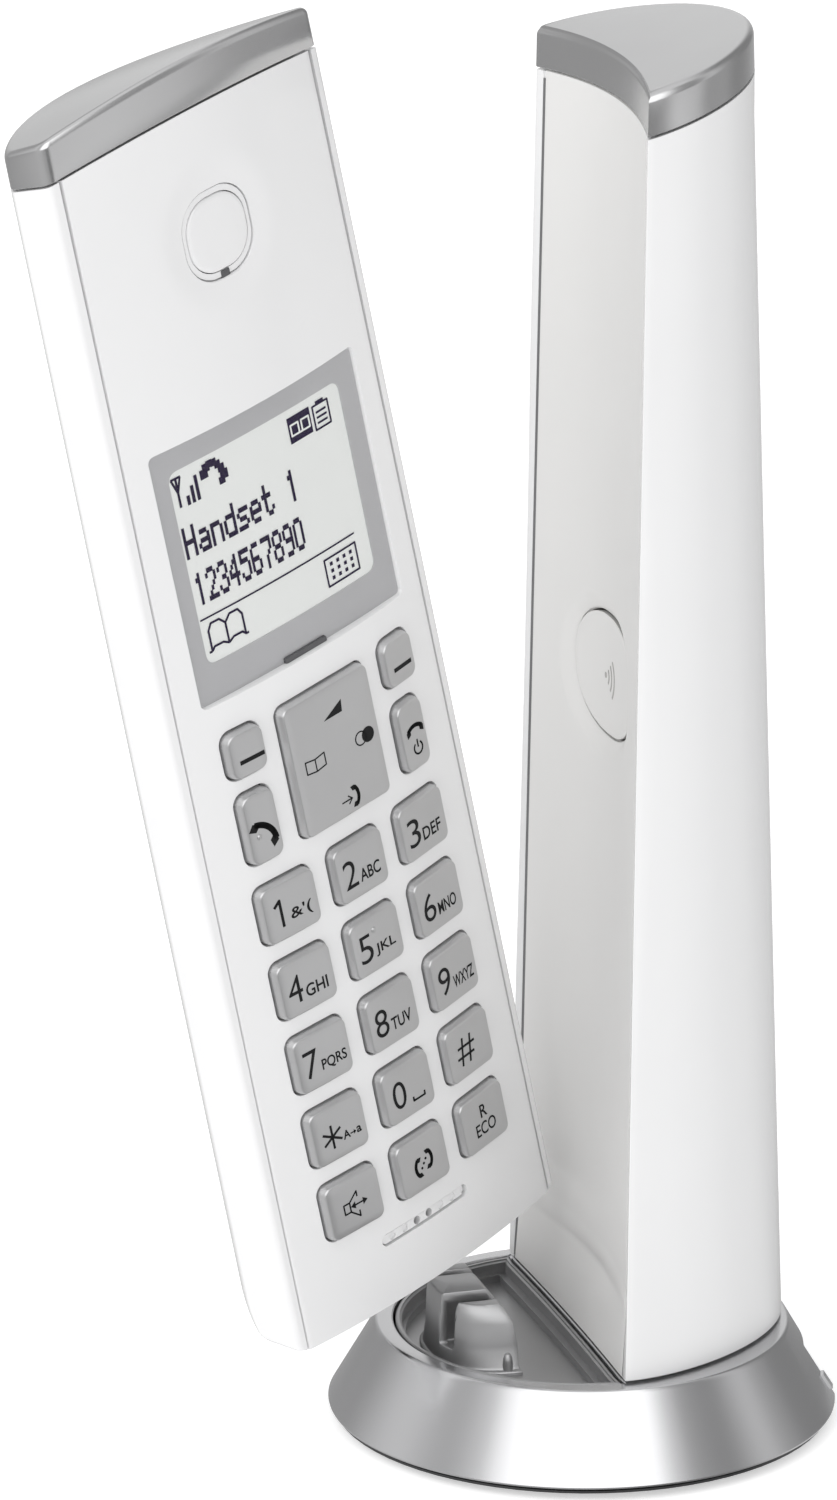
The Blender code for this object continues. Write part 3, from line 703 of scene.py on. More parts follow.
def ring_profile():
    pts = [(34.3, RING_FOOT_Z), (34.75, RING_FOOT_Z + 0.06), (34.95, RING_FOOT_Z + 0.2)]
    pts.append((RING_R, RING_FOOT_Z + 0.42))
    foot, head = Vector((RING_R, RING_FOOT_Z + 0.42)), Vector((RIM_R + 0.42, RIM_Z - 0.62))
    pts += [tuple(foot.lerp(head, i / 14)) for i in range(1, 15)]
    for i in range(1, 7):
        a = math.radians(30 + 60 * i / 6)
        pts.append((RIM_R - 0.28 + 0.62 * math.cos(a), RIM_Z - 0.62 + 0.62 * math.sin(a)))
    pts += [(27.0, RIM_Z), (20.0, RIM_Z), (10.0, RIM_Z), (0.5, RIM_Z)]
    pts += [(0.5, RIM_Z - 1.5), (26.9, RIM_Z - 1.5), (33.0, RING_FOOT_Z)]
    return pts


ring = lathe("plinth_ring", ring_profile(), seg=192, angle=28)
recess_spans = ((0.0, RIM_Z - 4), (0.0, RIM_Z - 0.3), (-0.08, RIM_Z - 0.1), (-0.3, RIM_Z + 0.02), (-0.3, 17.0))
edge = [[(x, y, z) for x, y in recess_outline(inset)] for inset, z in recess_spans]
tools = [loft("recess_cut", edge), block("notch_cut", (-12.8, 23.0, -1), (10.1, 40.0, 9.5), 0.3)]
carve(ring, tools)
hood = []
for z, y in ((3.2, 33.3), (5.4, 31.9)):
    hood.append([(9.9, 30.4, z), (11.6, 30.0, z), (11.6, y - 0.6, z), (9.9, y, z)])
carve(ring, [loft("hood", hood, ends="flat")], "UNION")
dress(ring, "base", "ring_silver", ["base_ring"])

# ---------------------------------------------------------------- cradle

tray_rings = [[(x, y, z) for x, y in recess_outline(inset)]
              for inset, z in ((0.25, 8.9), (0.25, RIM_Z - 0.45), (0.32, RIM_Z - 0.25), (0.5, RIM_Z - 0.12))]
tray = loft("cradle_dish", tray_rings, angle=30)
well = [[(x, y, z) for x, y in recess_outline(1.7, 2.15)] for z in (TRAY_FLOOR_Z, TRAY_STEP_Z)]
step = [[(x, y, z) for x, y in recess_outline(1.15)] for z in (TRAY_STEP_Z, RIM_Z - 0.5)]
lead = [[(x, y, z) for x, y in recess_outline(0.85)] for z in (RIM_Z - 0.35, 20.0)]
carve(tray, [loft("well_cut", well + step + lead)])
PYLON = [  # height, half width, front y and back y of its D-shaped sections
    (9.8, 11.3, -22.5, -12.0),
    (10.45, 11.3, -22.5, -12.0),
    (10.6, 11.2, -22.4, -12.1),
    (10.75, 10.7, -22.1, -12.3),
    (11.1, 10.5, -21.95, -12.35),
    (14.0, 10.1, -21.8, -12.4),
    (17.0, 9.75, -21.7, -12.9),
    (18.2, 9.45, -21.65, -13.5),
    (19.1, 8.9, -21.55, -14.0),
    (19.7, 8.25, -21.5, -14.5),
    (19.95, 7.7, -21.4, -14.9),
    (20.0, 7.3, -21.2, -15.2),
]


def pylon_ring(z, half, front_y, back_y, n=44, power=2.4):
    pts = []
    for i in range(n + 1):
        a = math.pi * i / n
        u = math.copysign(abs(math.cos(a)) ** (2 / power), math.cos(a))
        pts.append((half * u, back_y + (front_y - back_y) * math.sin(a) ** (2 / power), z))
    return pts


pylon = loft("cradle_pylon", [pylon_ring(*row) for row in PYLON], angle=30)
cuts = []
for side in (-1, 1):
    x0, x1 = sorted((side * 3.4, side * 6.3))
    cuts.append(block("slot_cut", (x0, -30, 12.8), (x1, -6, 24.0), 0.25))
carve(pylon, cuts)
cuts = []
for side in (-1, 1):
    x0, x1 = sorted((side * 2.6, side * 4.4))
    cuts.append(block("lip_cut", (x0, -20.4, 12.8), (x1, -14.6, 18.5), 0.15))
    x0, x1 = sorted((side * 6.0, side * 12.0))
    cuts.append(block("prong_cut", (x0, -30, 19.55), (x1, -6, 24.0), 0.1))
    x0, x1 = sorted((side * 3.8, side * 6.0))
    cuts.append(block("pin_cut", (x0, -18.7, 8.0), (x1, -15.9, 14.0), 0.1))
carve(pylon, cuts, bevel=0.14)
dress(pylon, "base", "pylon_silver")
rib = stack("cradle_rib", (10.3, -13.9, 0), (0, 0, 1),
            [(0.75, 10.0), (0.72, 11.6), (0.62, 12.4), (0.42, 12.9), (0.12, 13.1)], 20)
dress(rib, "base", "pylon_silver")
pins = []
for x in (-4.9, 4.9):
    pins.append(block("pin_well", (x - 1.1, -18.7, 8.0), (x + 1.1, -15.9, 14.0), 0.1))
carve(tray, pins)
dress(tray, "base", "cradle_silver", ["cradle_tray"])

# ---------------------------------------------------------------- tower


def tower_levels():
    zs = [TOWER_Z0, 13.75, 14.1] + steps(15.0, 27.0, 12) + steps(30.0, 54.0, 6)
    zs += steps(56.5, 141.5, 42) + steps(146.0, 182.0, 9)
    return zs


def shell_rings():
    rings = []
    for z in tower_levels() + [TOWER_SEAM_Z - 0.3]:
        top = z > TOWER_SEAM_Z - 1
        tuck = 0.12 if z == TOWER_Z0 else 0.0
        outer = tower_outline(z, inset=tuck, strip=RIB_IN)
        _, front, depth, _, _ = tower_at(z)
        middle = Vector((0.0, front + depth * 0.42))
        inner = []
        for x, y in outer:
            p = Vector((x, y))
            pull = (middle - p).normalized() * TOWER_WALL
            inner.append((x + pull.x, y + abs(pull.y) if y < middle.y else y + pull.y))
        row = outer + list(reversed(inner))
        lift = TOWER_SLOPE if top else 0.0
        rings.append([(x, y, z + lift * (y - front)) for x, y in row])
    return rings


shell = loft("tower_skin", shell_rings(), ends="strip", angle=24)
dress(shell, "base", "white_gloss", ["tower_shell"])


def panel_y(x, z):
    return tower_face_y(x, z) + dish_depth(x, z) - heel_step(z)


zs = [TOWER_Z0, 14.0] + steps(15.0, 30.0, 30) + steps(34.0, 90.0, 14)
zs += steps(91.5, 118.5, 60) + steps(122.0, 183.2, 14)
rings = []
for k, z in enumerate(zs):
    seat = tower_at(z)[0] / 2 - RIB_IN
    hi, lo = seat - SEAM_GAP[1], SEAM_GAP[-1] - seat
    xs = [hi, hi - 0.05, hi - 0.2] + steps(hi - 1.0, lo + 1.0, 76) + [lo + 0.2, lo + 0.05, lo]
    lips = [0.16, 0.04, 0.0] + [0.0] * 77 + [0.0, 0.04, 0.16]
    lift = TOWER_SLOPE if k == len(zs) - 1 else 0.0
    line = [(x, panel_y(x, z) + lip, z) for x, lip in zip(xs, lips)]
    line += [(x, tower_face_y(x, z) + PANEL_T, z) for x in reversed(xs)]
    rings.append([(x, y, zz + lift * y) for x, y, zz in line])
panel = loft("tower_panel", rings, ends="strip", angle=30)


def face_oval(a, b, off, n=96):
    return [(x, tower_face_y(x, PAGE_Z) + off, PAGE_Z + z) for x, z in oval(a, b, n)]


hole_spans = ((0.42, DISH_DEEP - 3.0), (0.4, DISH_DEEP - 0.02), (0.25, DISH_DEEP + 0.12), (0.25, 6.0))
hole = [face_oval(PAGE_A + grow, PAGE_B + grow, off) for grow, off in hole_spans]
carve(panel, [loft("page_hole", hole)])
dress(panel, "base", "warm_white", ["tower_front"])
# dark strips just behind the gaps beside the hollow face: painted shadow of the seams, a dark sheet where there
# is only shade
for side, tag in ((1, "near"), (-1, "far")):
    rings = []
    for z in steps(TOWER_Z0 + 0.2, TOWER_SEAM_Z - 1.2, 60):
        outer = side * (tower_at(z)[0] / 2 - RIB_IN)
        inner = outer - side * SEAM_GAP[side]
        y_out, y_in = tower_face_y(outer, z) + 0.05, tower_face_y(inner, z) + 0.05
        rings.append([(outer, y_out, z), (inner, y_in, z), (inner, y_in + 1.4, z), (outer, y_out + 1.4, z)])
    strip = loft("seam_shadow_strip_" + tag, rings, ends="flat", angle=30)
    dress(strip, "base", "seam_shadow_grey")

rows = [face_oval(PAGE_A - SKIRT_IN, PAGE_B - SKIRT_IN, off) for off in (PAGE_BACK, PAGE_FRONT + 0.16)]
for shrink, back in ((0.0, 0.15), (0.02, 0.1), (0.08, 0.03), (0.18, 0.0), (1.5, 0.0)):
    rows.append(face_oval(PAGE_A - shrink, PAGE_B - shrink, PAGE_FRONT + back))
for share in (0.75, 0.6, 0.45, 0.3, 0.16, 0.05):
    rows.append(face_oval(PAGE_A * share, PAGE_B * share, PAGE_FRONT))
button = loft("page_key", rows, angle=40)
dress(button, "page_button", "warm_white", ["page_button"])
# darker band round the side wall of the raised page button: painted shade on its edge
skirt_rings = [face_oval(PAGE_A, PAGE_B, PAGE_FRONT + off) for off in (0.16, 0.3, 2.2)]
skirt = loft("page_shade_skirt", skirt_rings, angle=40)
core = [face_oval(PAGE_A - SKIRT_IN + 0.04, PAGE_B - SKIRT_IN + 0.04, off) for off in (-2.0, 8.0)]
carve(skirt, [loft("skirt_core", core)])
dress(skirt, "page_button", "skirt_shade_grey")


def button_y(x, z):
    return tower_face_y(x, PAGE_Z) + PAGE_FRONT


waves = [blob(MARK_X, PAGE_Z - 0.2, 0.42)]
for r in (1.4, 2.6, 3.8):
    waves += bar(arc(MARK_X, PAGE_Z - 0.2, r, -42, 42), 0.38)
print_on("page_mark", waves, button_y, 0.04, "page_button", "mark_grey", pose=None, thick=0.2)


def cap_rings():
    rings = []
    r = 1.3
    rows = [(TOWER_SEAM_Z, 0.12), (TOWER_SEAM_Z + 0.12, 0.0), (TOWER_SEAM_Z + 2.0, 0.0), (TOWER_Z1 - r, 0.0)]
    for i in range(1, 9):
        a = 0.5 * math.pi * i / 8
        rows.append((TOWER_Z1 - r + r * math.sin(a), r * (1 - math.cos(a))))
    for z, inset in rows:
        chord, front, _, _, _ = tower_at(z)
        half = chord / 2 - inset
        n = 40
        us = [math.cos(math.pi * i / n) for i in range(n + 1)]
        ring = []
        brow = min(inset, 0.25)
        for u in us:
            x = half * u
            ring.append((x, tower_face_y(x, z) + brow, z + TOWER_SLOPE * (tower_face_y(x, z) - front)))
        for u in reversed(us):
            x = half * u
            y = max(tower_back_y(u, z, inset), tower_face_y(x, z) + 0.4 + brow)
            ring.append((x, y, z + TOWER_SLOPE * (y - front)))
        rings.append(ring)
    return rings


cap = loft("tower_lid", cap_rings(), ends="strip", angle=40)
dress(cap, "base", "satin_silver", ["tower_cap"])

# ---------------------------------------------------------------- handset shells

zs = [-HS_LEN, -HS_LEN + 0.08, -HS_LEN + 0.3, -HS_LEN + 0.6]
zs += [-HS_LEN + HS_FOOT_R * (1 - math.cos(math.radians(a))) for a in (28, 36, 44, 52, 60, 68, 76, 84)]
zs += steps(-168.5, -9.0, 40)
rings = []
for z in zs:
    tuck = 0.5 if z == -HS_LEN else 0.15 if z < -HS_LEN + 0.1 else 0.0
    rings.append(hs_ring(z, tuck))
rings.append(hs_ring(-HS_CAP_H - 0.3, 0.0, SEAM_ARCH, SEAM_SLOPE))
rear = hs_loft("handset_back", rings, angle=30)


def cavity_ring(z, rise=None):
    half = hs_at(z)[0] / 2 - HS_WALL
    us = [math.cos(math.pi * i / 24) for i in range(25)]
    out = [(half * u, -8.0, rise or z) for u in us]
    return out + [(half * u, max(hs_back_y(half * u, z, HS_WALL), 3.0), rise or z) for u in reversed(us)]


cavity = [cavity_ring(z) for z in (-HS_LEN + 2.0, -HS_LEN + 4.6, -HS_LEN + 7, -140, -100, -60, -25)]
cavity.append(cavity_ring(-8.0, 10.0))


def slab(name, zs, half_at, front, back, n):
    """Piece between two surfaces y = front(x, z) and y = back(x, z), half_at(z) wide each way."""
    rings = []
    for z in zs:
        xs = steps(half_at(z), -half_at(z), n)
        rings.append([(x, front(x, z), z) for x in xs] + [(x, back(x, z), z) for x in reversed(xs)])
    return hs_loft(name, rings)


seat = slab(
    "seat",
    [-HS_LEN - 4] + steps(-170.0, 6.0, 8),
    lambda z: hs_at(z)[0] / 2 - hs_at(z)[3] + 0.12,
    lambda x, z: -9.0,
    lambda x, z: hs_plain_y(x, z) + COVER_T + 0.25,
    24,
)
tools = [hs_loft("cavity", cavity), seat]
tools.append(block("bay", (-BAY_W / 2, 12, BAY_BOT), (BAY_W / 2, 32, BAY_TOP), 0.3, pose=POSE))
tools.append(block("foot", (-10.9, 8.1, -HS_LEN - 5), (10.9, 17.4, -HS_LEN + 6), 0.4, pose=POSE))
slots = []
for z in (-46, -43, -40, -37):
    slot = [(x, z + 0.55 + h) for x, h in rounded(12.0, 1.1, 0.5, 5)]
    slots.append(loft("slot", [[(x, y, h) for x, h in slot] for y in (12.0, 30.0)], pose=POSE))
tools.append(merged("slots", slots))
carve(rear, tools)
ledge = slab("ledge", [BAY_BOT - 7.0, BAY_BOT + 1.5], lambda z: BAY_W / 2 + 1.6,
             lambda x, z: hs_back_y(x, z) - 3.4, lambda x, z: hs_back_y(x, z) - 0.9, 16)
carve(rear, [ledge], "UNION")
run = slab("run", [BAY_BOT - BAY_RUN - 0.4, BAY_BOT + 3.0], lambda z: BAY_W / 2,
           lambda x, z: hs_back_y(x, z) - 1.85, lambda x, z: hs_back_y(x, z) + 4.0, 16)
carve(rear, [run])
dress(rear, "handset", "white_gloss", ["hs_rear_shell"])

LID_HALF = BAY_W / 2 - LID_GAP
LID_Z = (BAY_BOT + LID_GAP, BAY_TOP - LID_GAP)


def edge_round(distance, r):
    """How far a surface falls back beside an edge that is rounded by r."""
    return r - math.sqrt(max(r * r - (r - min(max(distance, 0.0), r)) ** 2, 0.0))


def lid_y(x, z):
    """Outside of the battery lid, with the six grooves of its thumb grip."""
    edge = min(z - LID_Z[0], LID_Z[1] - z, LID_HALF - abs(x))
    grip = 0.0
    if abs(x) < 6.5:
        for k in range(6):
            grip += 0.28 * math.exp(-((z + 99.5 + 1.7 * k) / 0.42) ** 2)
    return hs_back_y(x, z) - edge_round(edge, 0.25) - grip * smooth((6.5 - abs(x)) / 1.2)


xs = [LID_HALF, LID_HALF - 0.08, LID_HALF - 0.25] + steps(LID_HALF - 0.8, 0.8 - LID_HALF, 34)
xs += [0.25 - LID_HALF, 0.08 - LID_HALF, -LID_HALF]
lid_zs = steps(-146.0, -94.0, 26) + steps(-110.5, -97.0, 54)
lid_zs += [LID_Z[0], LID_Z[0] + 0.1, LID_Z[0] + 0.3, LID_Z[1] - 0.3, LID_Z[1] - 0.1, LID_Z[1]]
rings = []
for z in sorted(set(lid_zs)):
    rings.append([(x, hs_back_y(x, z) - 1.5, z) for x in xs] + [(x, lid_y(x, z), z) for x in reversed(xs)])
lid = hs_loft("battery_lid", rings, angle=40)
dress(lid, "battery_cover", "white_gloss", ["battery_cover"])


def cover_half(z):
    return hs_at(z)[0] / 2 - hs_at(z)[3] - 0.15


def cover_front(x, z):
    return hs_front_y(x, z) + edge_round(cover_half(z) - abs(x), 0.2)


def cover_lift(x, y, z):
    """Bends the top of the cover to the arched, sloping seam under the cap."""
    share = max((z + 25.0) / (25.0 - HS_CAP_H - 0.3), 0.0)
    return share * (SEAM_ARCH * (1 - (2 * x / HS_W[0]) ** 2) - SEAM_SLOPE * y)


zs = [-HS_LEN] + steps(-176.0, -35.0, 47) + steps(-34.0, -10.0, 40) + [-8.0, -HS_CAP_H - 0.3]
rings = []
for z in zs:
    half = cover_half(z)
    mid = steps(half - 0.8, -half + 0.8, 64)
    xs = [half, half - 0.06, half - 0.2] + mid + [-half + 0.2, -half + 0.06, -half]
    line = [(x, cover_front(x, z)) for x in xs] + [(x, hs_plain_y(x, z) + COVER_T) for x in reversed(xs)]
    rings.append([(x, y, z + cover_lift(x, y, z)) for x, y in line])
cover = hs_loft("handset_face", rings, angle=30)

cap_rows = [(-HS_CAP_H, 0.1), (-HS_CAP_H + 0.12, 0.0), (-3.5, 0.0), (-1.3, 0.0)]
cap_rows += [(-1.3 + 1.3 * math.sin(a), 1.0 * (1 - math.cos(a))) for a in steps(0.2, 0.5 * math.pi, 8)]
rings = []
for z, inset in cap_rows:
    share = min(max((z + HS_CAP_H) / (HS_CAP_H - 1.1), 0.0), 1.0)
    rings.append(hs_ring(z, inset, SEAM_ARCH + (CAP_ARCH - SEAM_ARCH) * share,
                         SEAM_SLOPE + (CAP_SLOPE - SEAM_SLOPE) * share, corner=1.5))
crown = hs_loft("handset_crown", rings, angle=40)
dress(crown, "handset", "satin_silver", ["hs_top_cap"])

# ---------------------------------------------------------------- keys

KEYS_AT = [  # node, middle x and z, width, height and corner radius
    ("key_soft_left", -14.1, -89.8, 6.0, 6.6, 1.5),
    ("key_soft_right", 14.5, -89.6, 6.0, 6.8, 1.5),
    ("key_navigator", 0.0, -96.2, 16.0, 19.2, 1.2),
    ("key_talk", -14.2, -100.7, 5.5, 10.2, 1.5),
    ("key_off", 14.3, -100.7, 5.3, 10.0, 1.5),
]
PAD = ["1", "2", "3", "4", "5", "6", "7", "8", "9", "star", "0", "hash", "speaker", "intercom", "recall"]
for i, tag in enumerate(PAD):
    row, col = divmod(i, 3)
    KEYS_AT.append(("key_" + tag, (col - 1) * KEY_PITCH_X, KEY_TOP_Z - row * KEY_PITCH_Z, KEY_W, KEY_H, 1.3))


def key_plane(cx, cz, y):
    slope = 2 * HS_BULGE * cx / (hs_at(cz)[0] / 2) ** 2
    base = hs_plain_y(cx, cz)
    return lambda x, z: base + y + slope * (x - cx)


def key_rings(cx, cz, w, h, r, spans, n=7):
    rings = []
    for grow, y in spans:
        at = key_plane(cx, cz, y)
        ring = []
        for x, z in rounded(w + 2 * grow, h + 2 * grow, max(r + grow, 0.35), n):
            ring.append((cx + x, at(cx + x, cz), cz + z))
        rings.append(ring)
    return rings


KEY_HOLE = [(0.3, 6.0), (0.3, 0.25), (0.34, 0.1), (0.46, -0.03), (0.62, -0.12), (0.62, -3.0)]
cuts = []
for name, cx, cz, w, h, r in KEYS_AT:
    cuts.append(loft("hole", key_rings(cx, cz, w, h, r, KEY_HOLE), pose=POSE))
    seat = NAVIGATOR_SEAT if name == "key_navigator" else KEY_SEAT
    spans = [(0.7, seat + 0.5), (0.7, seat), (0.0, seat), (0.0, -0.3), (-0.12, -0.62)]
    for i in range(1, 6):
        a = 0.5 * math.pi * i / 5
        spans.append((-0.14 - 0.26 * (1 - math.cos(a)), -0.66 - (KEY_RISE - 0.66) * math.sin(a)))
    spans += [(-1.4, -KEY_RISE - 0.005), (-2.2, -KEY_RISE - 0.01)]
    key = loft(name + "_top", key_rings(cx, cz, w, h, r, spans), pose=POSE, angle=50)
    dress(key, name, "key_silver", [name])


def ear_shape(name, size, spans, n=10, **kw):
    """Rounded block at the earpiece: size is width, height and corner radius, spans are (growth, y)."""
    w, h, r = size
    rings = []
    for grow, y in spans:
        outline = rounded(w + 2 * grow, h + 2 * grow, r + grow, n)
        rings.append([(EAR_X + x, y, EAR_Z + z) for x, z in outline])
    return loft(name, rings, pose=POSE, **kw)


def mic_plate(name, grow, r, front, back):
    """Bar-shaped plate at the microphone, front and back behind the handset's front."""
    wide, tall = MIC_HALF_W + grow, MIC_HALF_H + grow
    return plate(name, MIC_X - wide, MIC_X + wide, MIC_Z - tall, MIC_Z + tall, r,
                 lambda x, z: hs_plain_y(x, z) + front, lambda x, z: hs_plain_y(x, z) + back, pose=POSE)


mid = (WIN_TOP + WIN_BOT) / 2
tall = WIN_TOP - WIN_BOT


def window_ring(grow, off):
    pts = rounded(WIN_W + 2 * grow, tall + 2 * grow, 0.8 + grow, 8)
    dense = []
    for (xa, za), (xb, zb) in zip(pts, pts[1:] + pts[:1]):
        count = 24 if abs(xb - xa) > 10 else 1
        dense += [(xa + (xb - xa) * i / count, za + (zb - za) * i / count) for i in range(count)]
    return [(x, hs_plain_y(x, mid) + off, mid + z) for x, z in dense]


window_spans = ((-0.1, 6.0), (-0.1, 0.55), (0.0, 0.3), (0.1, 0.04), (0.22, -0.08), (0.22, -4.0))
window_cut = [window_ring(grow, off) for grow, off in window_spans]
cuts.append(loft("window_cut", window_cut, pose=POSE))
cuts.append(ear_shape("ear_well", EAR_WELL, ((0.0, -1.2), (0.0, -2.02), (0.12, -2.12), (0.2, -4.0))))
carve(cover, [merged("cover_cut", cuts)])
second = [ear_shape("ear_hole", EAR_DISC, ((0.15, -4.0), (0.15, 6.0)))]
for x in MIC_HOLES:
    second.append(stack("hole", (x, 0, MIC_Z), (0, 1, 0), [(0.6, -4.0), (0.6, 4.0)], 24, pose=POSE))
carve(cover, [mic_plate("mic_slot", 0.0, 0.85, -2.0, 1.1)])
carve(cover, [merged("cover_cut_2", second)])

grille = mic_plate("mic_grille", -0.24, 0.62, 0.3, 1.05)
dimples = []
for i in range(MIC_DIMPLES):
    x = MIC_HOLES[0] + (MIC_HOLES[1] - MIC_HOLES[0]) * (i - 2)
    deep = 4.0 if i in (2, 3) else hs_plain_y(x, MIC_Z) + 0.62
    dimples.append(stack("hole", (x, 0, MIC_Z), (0, 1, 0), [(0.6, -4.0), (0.6, deep)], 24, pose=POSE))
carve(grille, [merged("dimples", dimples)])
dress(grille, "handset", "white_gloss")
dress(cover, "handset", "white_gloss", ["hs_front_cover"])

disc_rows = [(0.0, -0.9), (0.0, -1.85), (-0.06, -1.98), (-0.2, -2.07), (-0.6, -2.1), (-2.6, -2.12)]
disc = ear_shape("earpiece_cap", EAR_DISC, disc_rows, 12, angle=40)
dress(disc, "handset", "white_gloss", ["hs_earpiece_disc"])
ear_ring = ear_shape("earpiece_ring", EAR_WELL, ((-0.16, -1.25), (-0.16, -1.8), (-0.2, -1.86)))
carve(ear_ring, [ear_shape("ear_core", EAR_DISC, ((0.14, -3.0), (0.14, 0.0)))])
dress(ear_ring, "handset", "white_gloss")
# dark block at the foot of the earpiece well: painted shade standing in for the vent opening
vent = block("earpiece_vent", (EAR_X - 0.75, -2.05, EAR_Z - 6.15), (EAR_X + 0.65, -1.5, EAR_Z - 5.15), 0.08,
             pose=POSE)
dress(vent, "handset", "slot_grey")

# ---------------------------------------------------------------- window and display


def glass_y(x, z):
    return -0.55 - 0.9 * (1 - (2 * x / WIN_W) ** 2)


def behind(off):
    return lambda x, z: glass_y(x, z) + off


def window_plate(name, x0, x1, z0, z1, r, front, back):
    return plate(name, x0, x1, z0, z1, r, behind(front), behind(back), pose=POSE, angle=30)


half = WIN_W / 2 - 0.15
bezel = window_plate("display_bezel", -half, half, WIN_BOT + 0.08, WIN_TOP - 0.08, 0.7, 0.0, 0.5)
carve(bezel, [window_plate("bezel_cut", *SCREEN, 1.4, -2.0, 2.0)])
dress(bezel, "handset", "bezel_grey")
x0, x1, z0, z1 = SCREEN
face = window_plate("display_face", x0 - 0.6, x1 + 0.6, z0 - 0.6, z1 + 0.6, 0.5, 0.12, 0.45)
dress(face, "handset", "lcd_face", ["hs_lcd_module"])
half = WIN_W / 2 - 0.25
pane = window_plate("display_pane", -half, half, WIN_BOT + 0.15, WIN_TOP - 0.15, 0.7, -0.12, -0.04)
dress(pane, "handset", "clear_pane", ["hs_window"])

GLYPHS = {
    "0": "01110 10001 10001 10001 10001 10001 01110",
    "1": "00100 01100 00100 00100 00100 00100 00100",
    "2": "01110 10001 00001 00010 00100 01000 11111",
    "3": "01110 10001 00001 00110 00001 10001 01110",
    "4": "00010 00110 01010 10010 11111 00010 00010",
    "5": "11111 10000 11110 00001 00001 10001 01110",
    "6": "01110 10000 10000 11110 10001 10001 01110",
    "7": "11111 00001 00001 00010 00100 00100 00100",
    "8": "01110 10001 10001 01110 10001 10001 01110",
    "9": "01110 10001 10001 01111 00001 00001 01110",
    "H": "10001 10001 10001 11111 10001 10001 10001",
    "a": "00000 00000 01110 00001 01111 10001 01111",
    "n": "00000 00000 11110 10001 10001 10001 10001",
    "d": "00001 00001 01111 10001 10001 10001 01111",
    "s": "00000 00000 01111 10000 01110 00001 11110",
    "e": "00000 00000 01110 10001 11111 10000 01110",
    "t": "01000 01000 11110 01000 01000 01001 00110",
    " ": "00000 00000 00000 00000 00000 00000 00000",
}


def dots(words, x0, x1, z0, z1):
    """Words in display dots, fitted to a box."""
    cell = (x1 - x0) / (len(words) * 6 - 1)
    row_h = (z1 - z0) / 7
    polys = []
    for k, ch in enumerate(words):
        for r, row in enumerate(GLYPHS[ch].split()):
            for c, bit in enumerate(row):
                if bit == "1":
                    x = x0 + (k * 6 + c) * cell
                    z = z1 - (r + 1) * row_h
                    polys.append(rect(x - 0.02, x + cell * 1.1, z - 0.02, z + row_h * 1.02))
    return polys


ink = []
ink += bar([(-14.75, -54.4), (-14.75, -50.2)], 0.35) + bar([(-14.75, -52.4), (-15.5, -50.3)], 0.3)
ink += bar([(-14.75, -52.4), (-14.0, -50.3)], 0.3) + bar([(-15.55, -50.3), (-13.95, -50.3)], 0.3)
for k in range(3):
    ink.append(rect(-13.6 + 0.85 * k, -13.1 + 0.85 * k, -54.6, -53.3 + 1.1 * k))
STAIR = [(-10.2, -51.6, 1.3), (-9.7, -50.9, 1.2), (-9.1, -50.6, 1.0), (-8.4, -50.7, 1.0), (-7.8, -51.2, 1.0),
         (-7.3, -51.9, 1.1), (-7.0, -52.9, 1.3), (-7.5, -53.6, 1.0)]
ink += [rect(x - side / 2, x + side / 2, z - side / 2, z + side / 2) for x, z, side in STAIR]
ink += loop([(9.8, -50.9), (12.7, -50.9), (12.7, -54.2), (9.8, -54.2)], 0.26)
ink.append(rect(10.5, 12.0, -50.8, -50.4))
for k in range(3):
    ink += bar([(10.3, -51.9 - 0.75 * k), (12.2, -51.9 - 0.75 * k)], 0.28)
ink += dots("Handset 1", -15.5, 4.6, -61.6, -57.2)
ink += dots("1234567890", -15.3, 3.9, -68.4, -63.9)
ink += bar([(-15.6, -70.35), (12.6, -70.35)], 0.22)
for side in (-1, 1):
    page = [(-11.8, -75.1), (-11.8, -72.2), (-11.8 + side * 0.9, -71.3), (-11.8 + side * 2.3, -71.3),
            (-11.8 + side * 2.9, -72.2), (-11.8 + side * 2.9, -75.1)]
    ink += bar(page, 0.3)
    ink += bar([page[5], (-11.8 + side * 2.4, -74.6), (-11.8 + side * 0.9, -74.6), page[0]], 0.3)
    ink += bar([page[5], (-11.8 + side * 3.4, -75.1)], 0.3)
ink += loop([(6.4, -71.6), (12.4, -71.6), (12.4, -75.4), (6.4, -75.4)], 0.26)
for r in range(3):
    for c in range(4):
        x, z = 7.3 + 1.25 * c, -72.5 - 1.0 * r
        ink.append(rect(x, x + 0.5, z - 0.25, z + 0.25))
print_on("display_print", ink, glass_y, -0.04, "handset", "lcd_ink")
tape = [rect(5.0, 9.2, -54.1, -50.5)]
print_on("display_tape", tape, glass_y, -0.045, "handset", "lcd_ink")
spools = loop(rect(5.4, 6.8, -53.1, -51.6), 0.26) + loop(rect(7.4, 8.8, -53.1, -51.6), 0.26)
spools += bar([(6.8, -53.1), (7.4, -53.1)], 0.26)
print_on("display_spools", spools, glass_y, -0.02, "handset", "lcd_face")
latch = block("window_latch", (-3.9, -1.95, WIN_BOT - 0.1), (3.7, -0.5, WIN_BOT + 0.85), 0.25, pose=POSE)
dress(latch, "handset", "slot_grey")

# ---------------------------------------------------------------- legends


def handset_icon(cx, cz, size, turn):
    """Telephone receiver: a bowed bar with a blunt end at each side."""
    polys = []
    shapes = bar(arc(0.0, -1.3, 1.45, 132, 48, 14), 0.4)
    for side in (-1, 1):
        shapes.append([(side * 0.62, 0.06), (side * 1.16, -0.2), (side * 1.1, -0.75), (side * 0.62, -0.52)])
    ca, sa = math.cos(math.radians(turn)), math.sin(math.radians(turn))
    for shape in shapes:
        polys.append([(cx + size * (x * ca - z * sa), cz + size * (x * sa + z * ca)) for x, z in shape])
    return polys


def shifted(polys, cx, cz):
    return [[(cx + x, cz + z) for x, z in poly] for poly in polys]


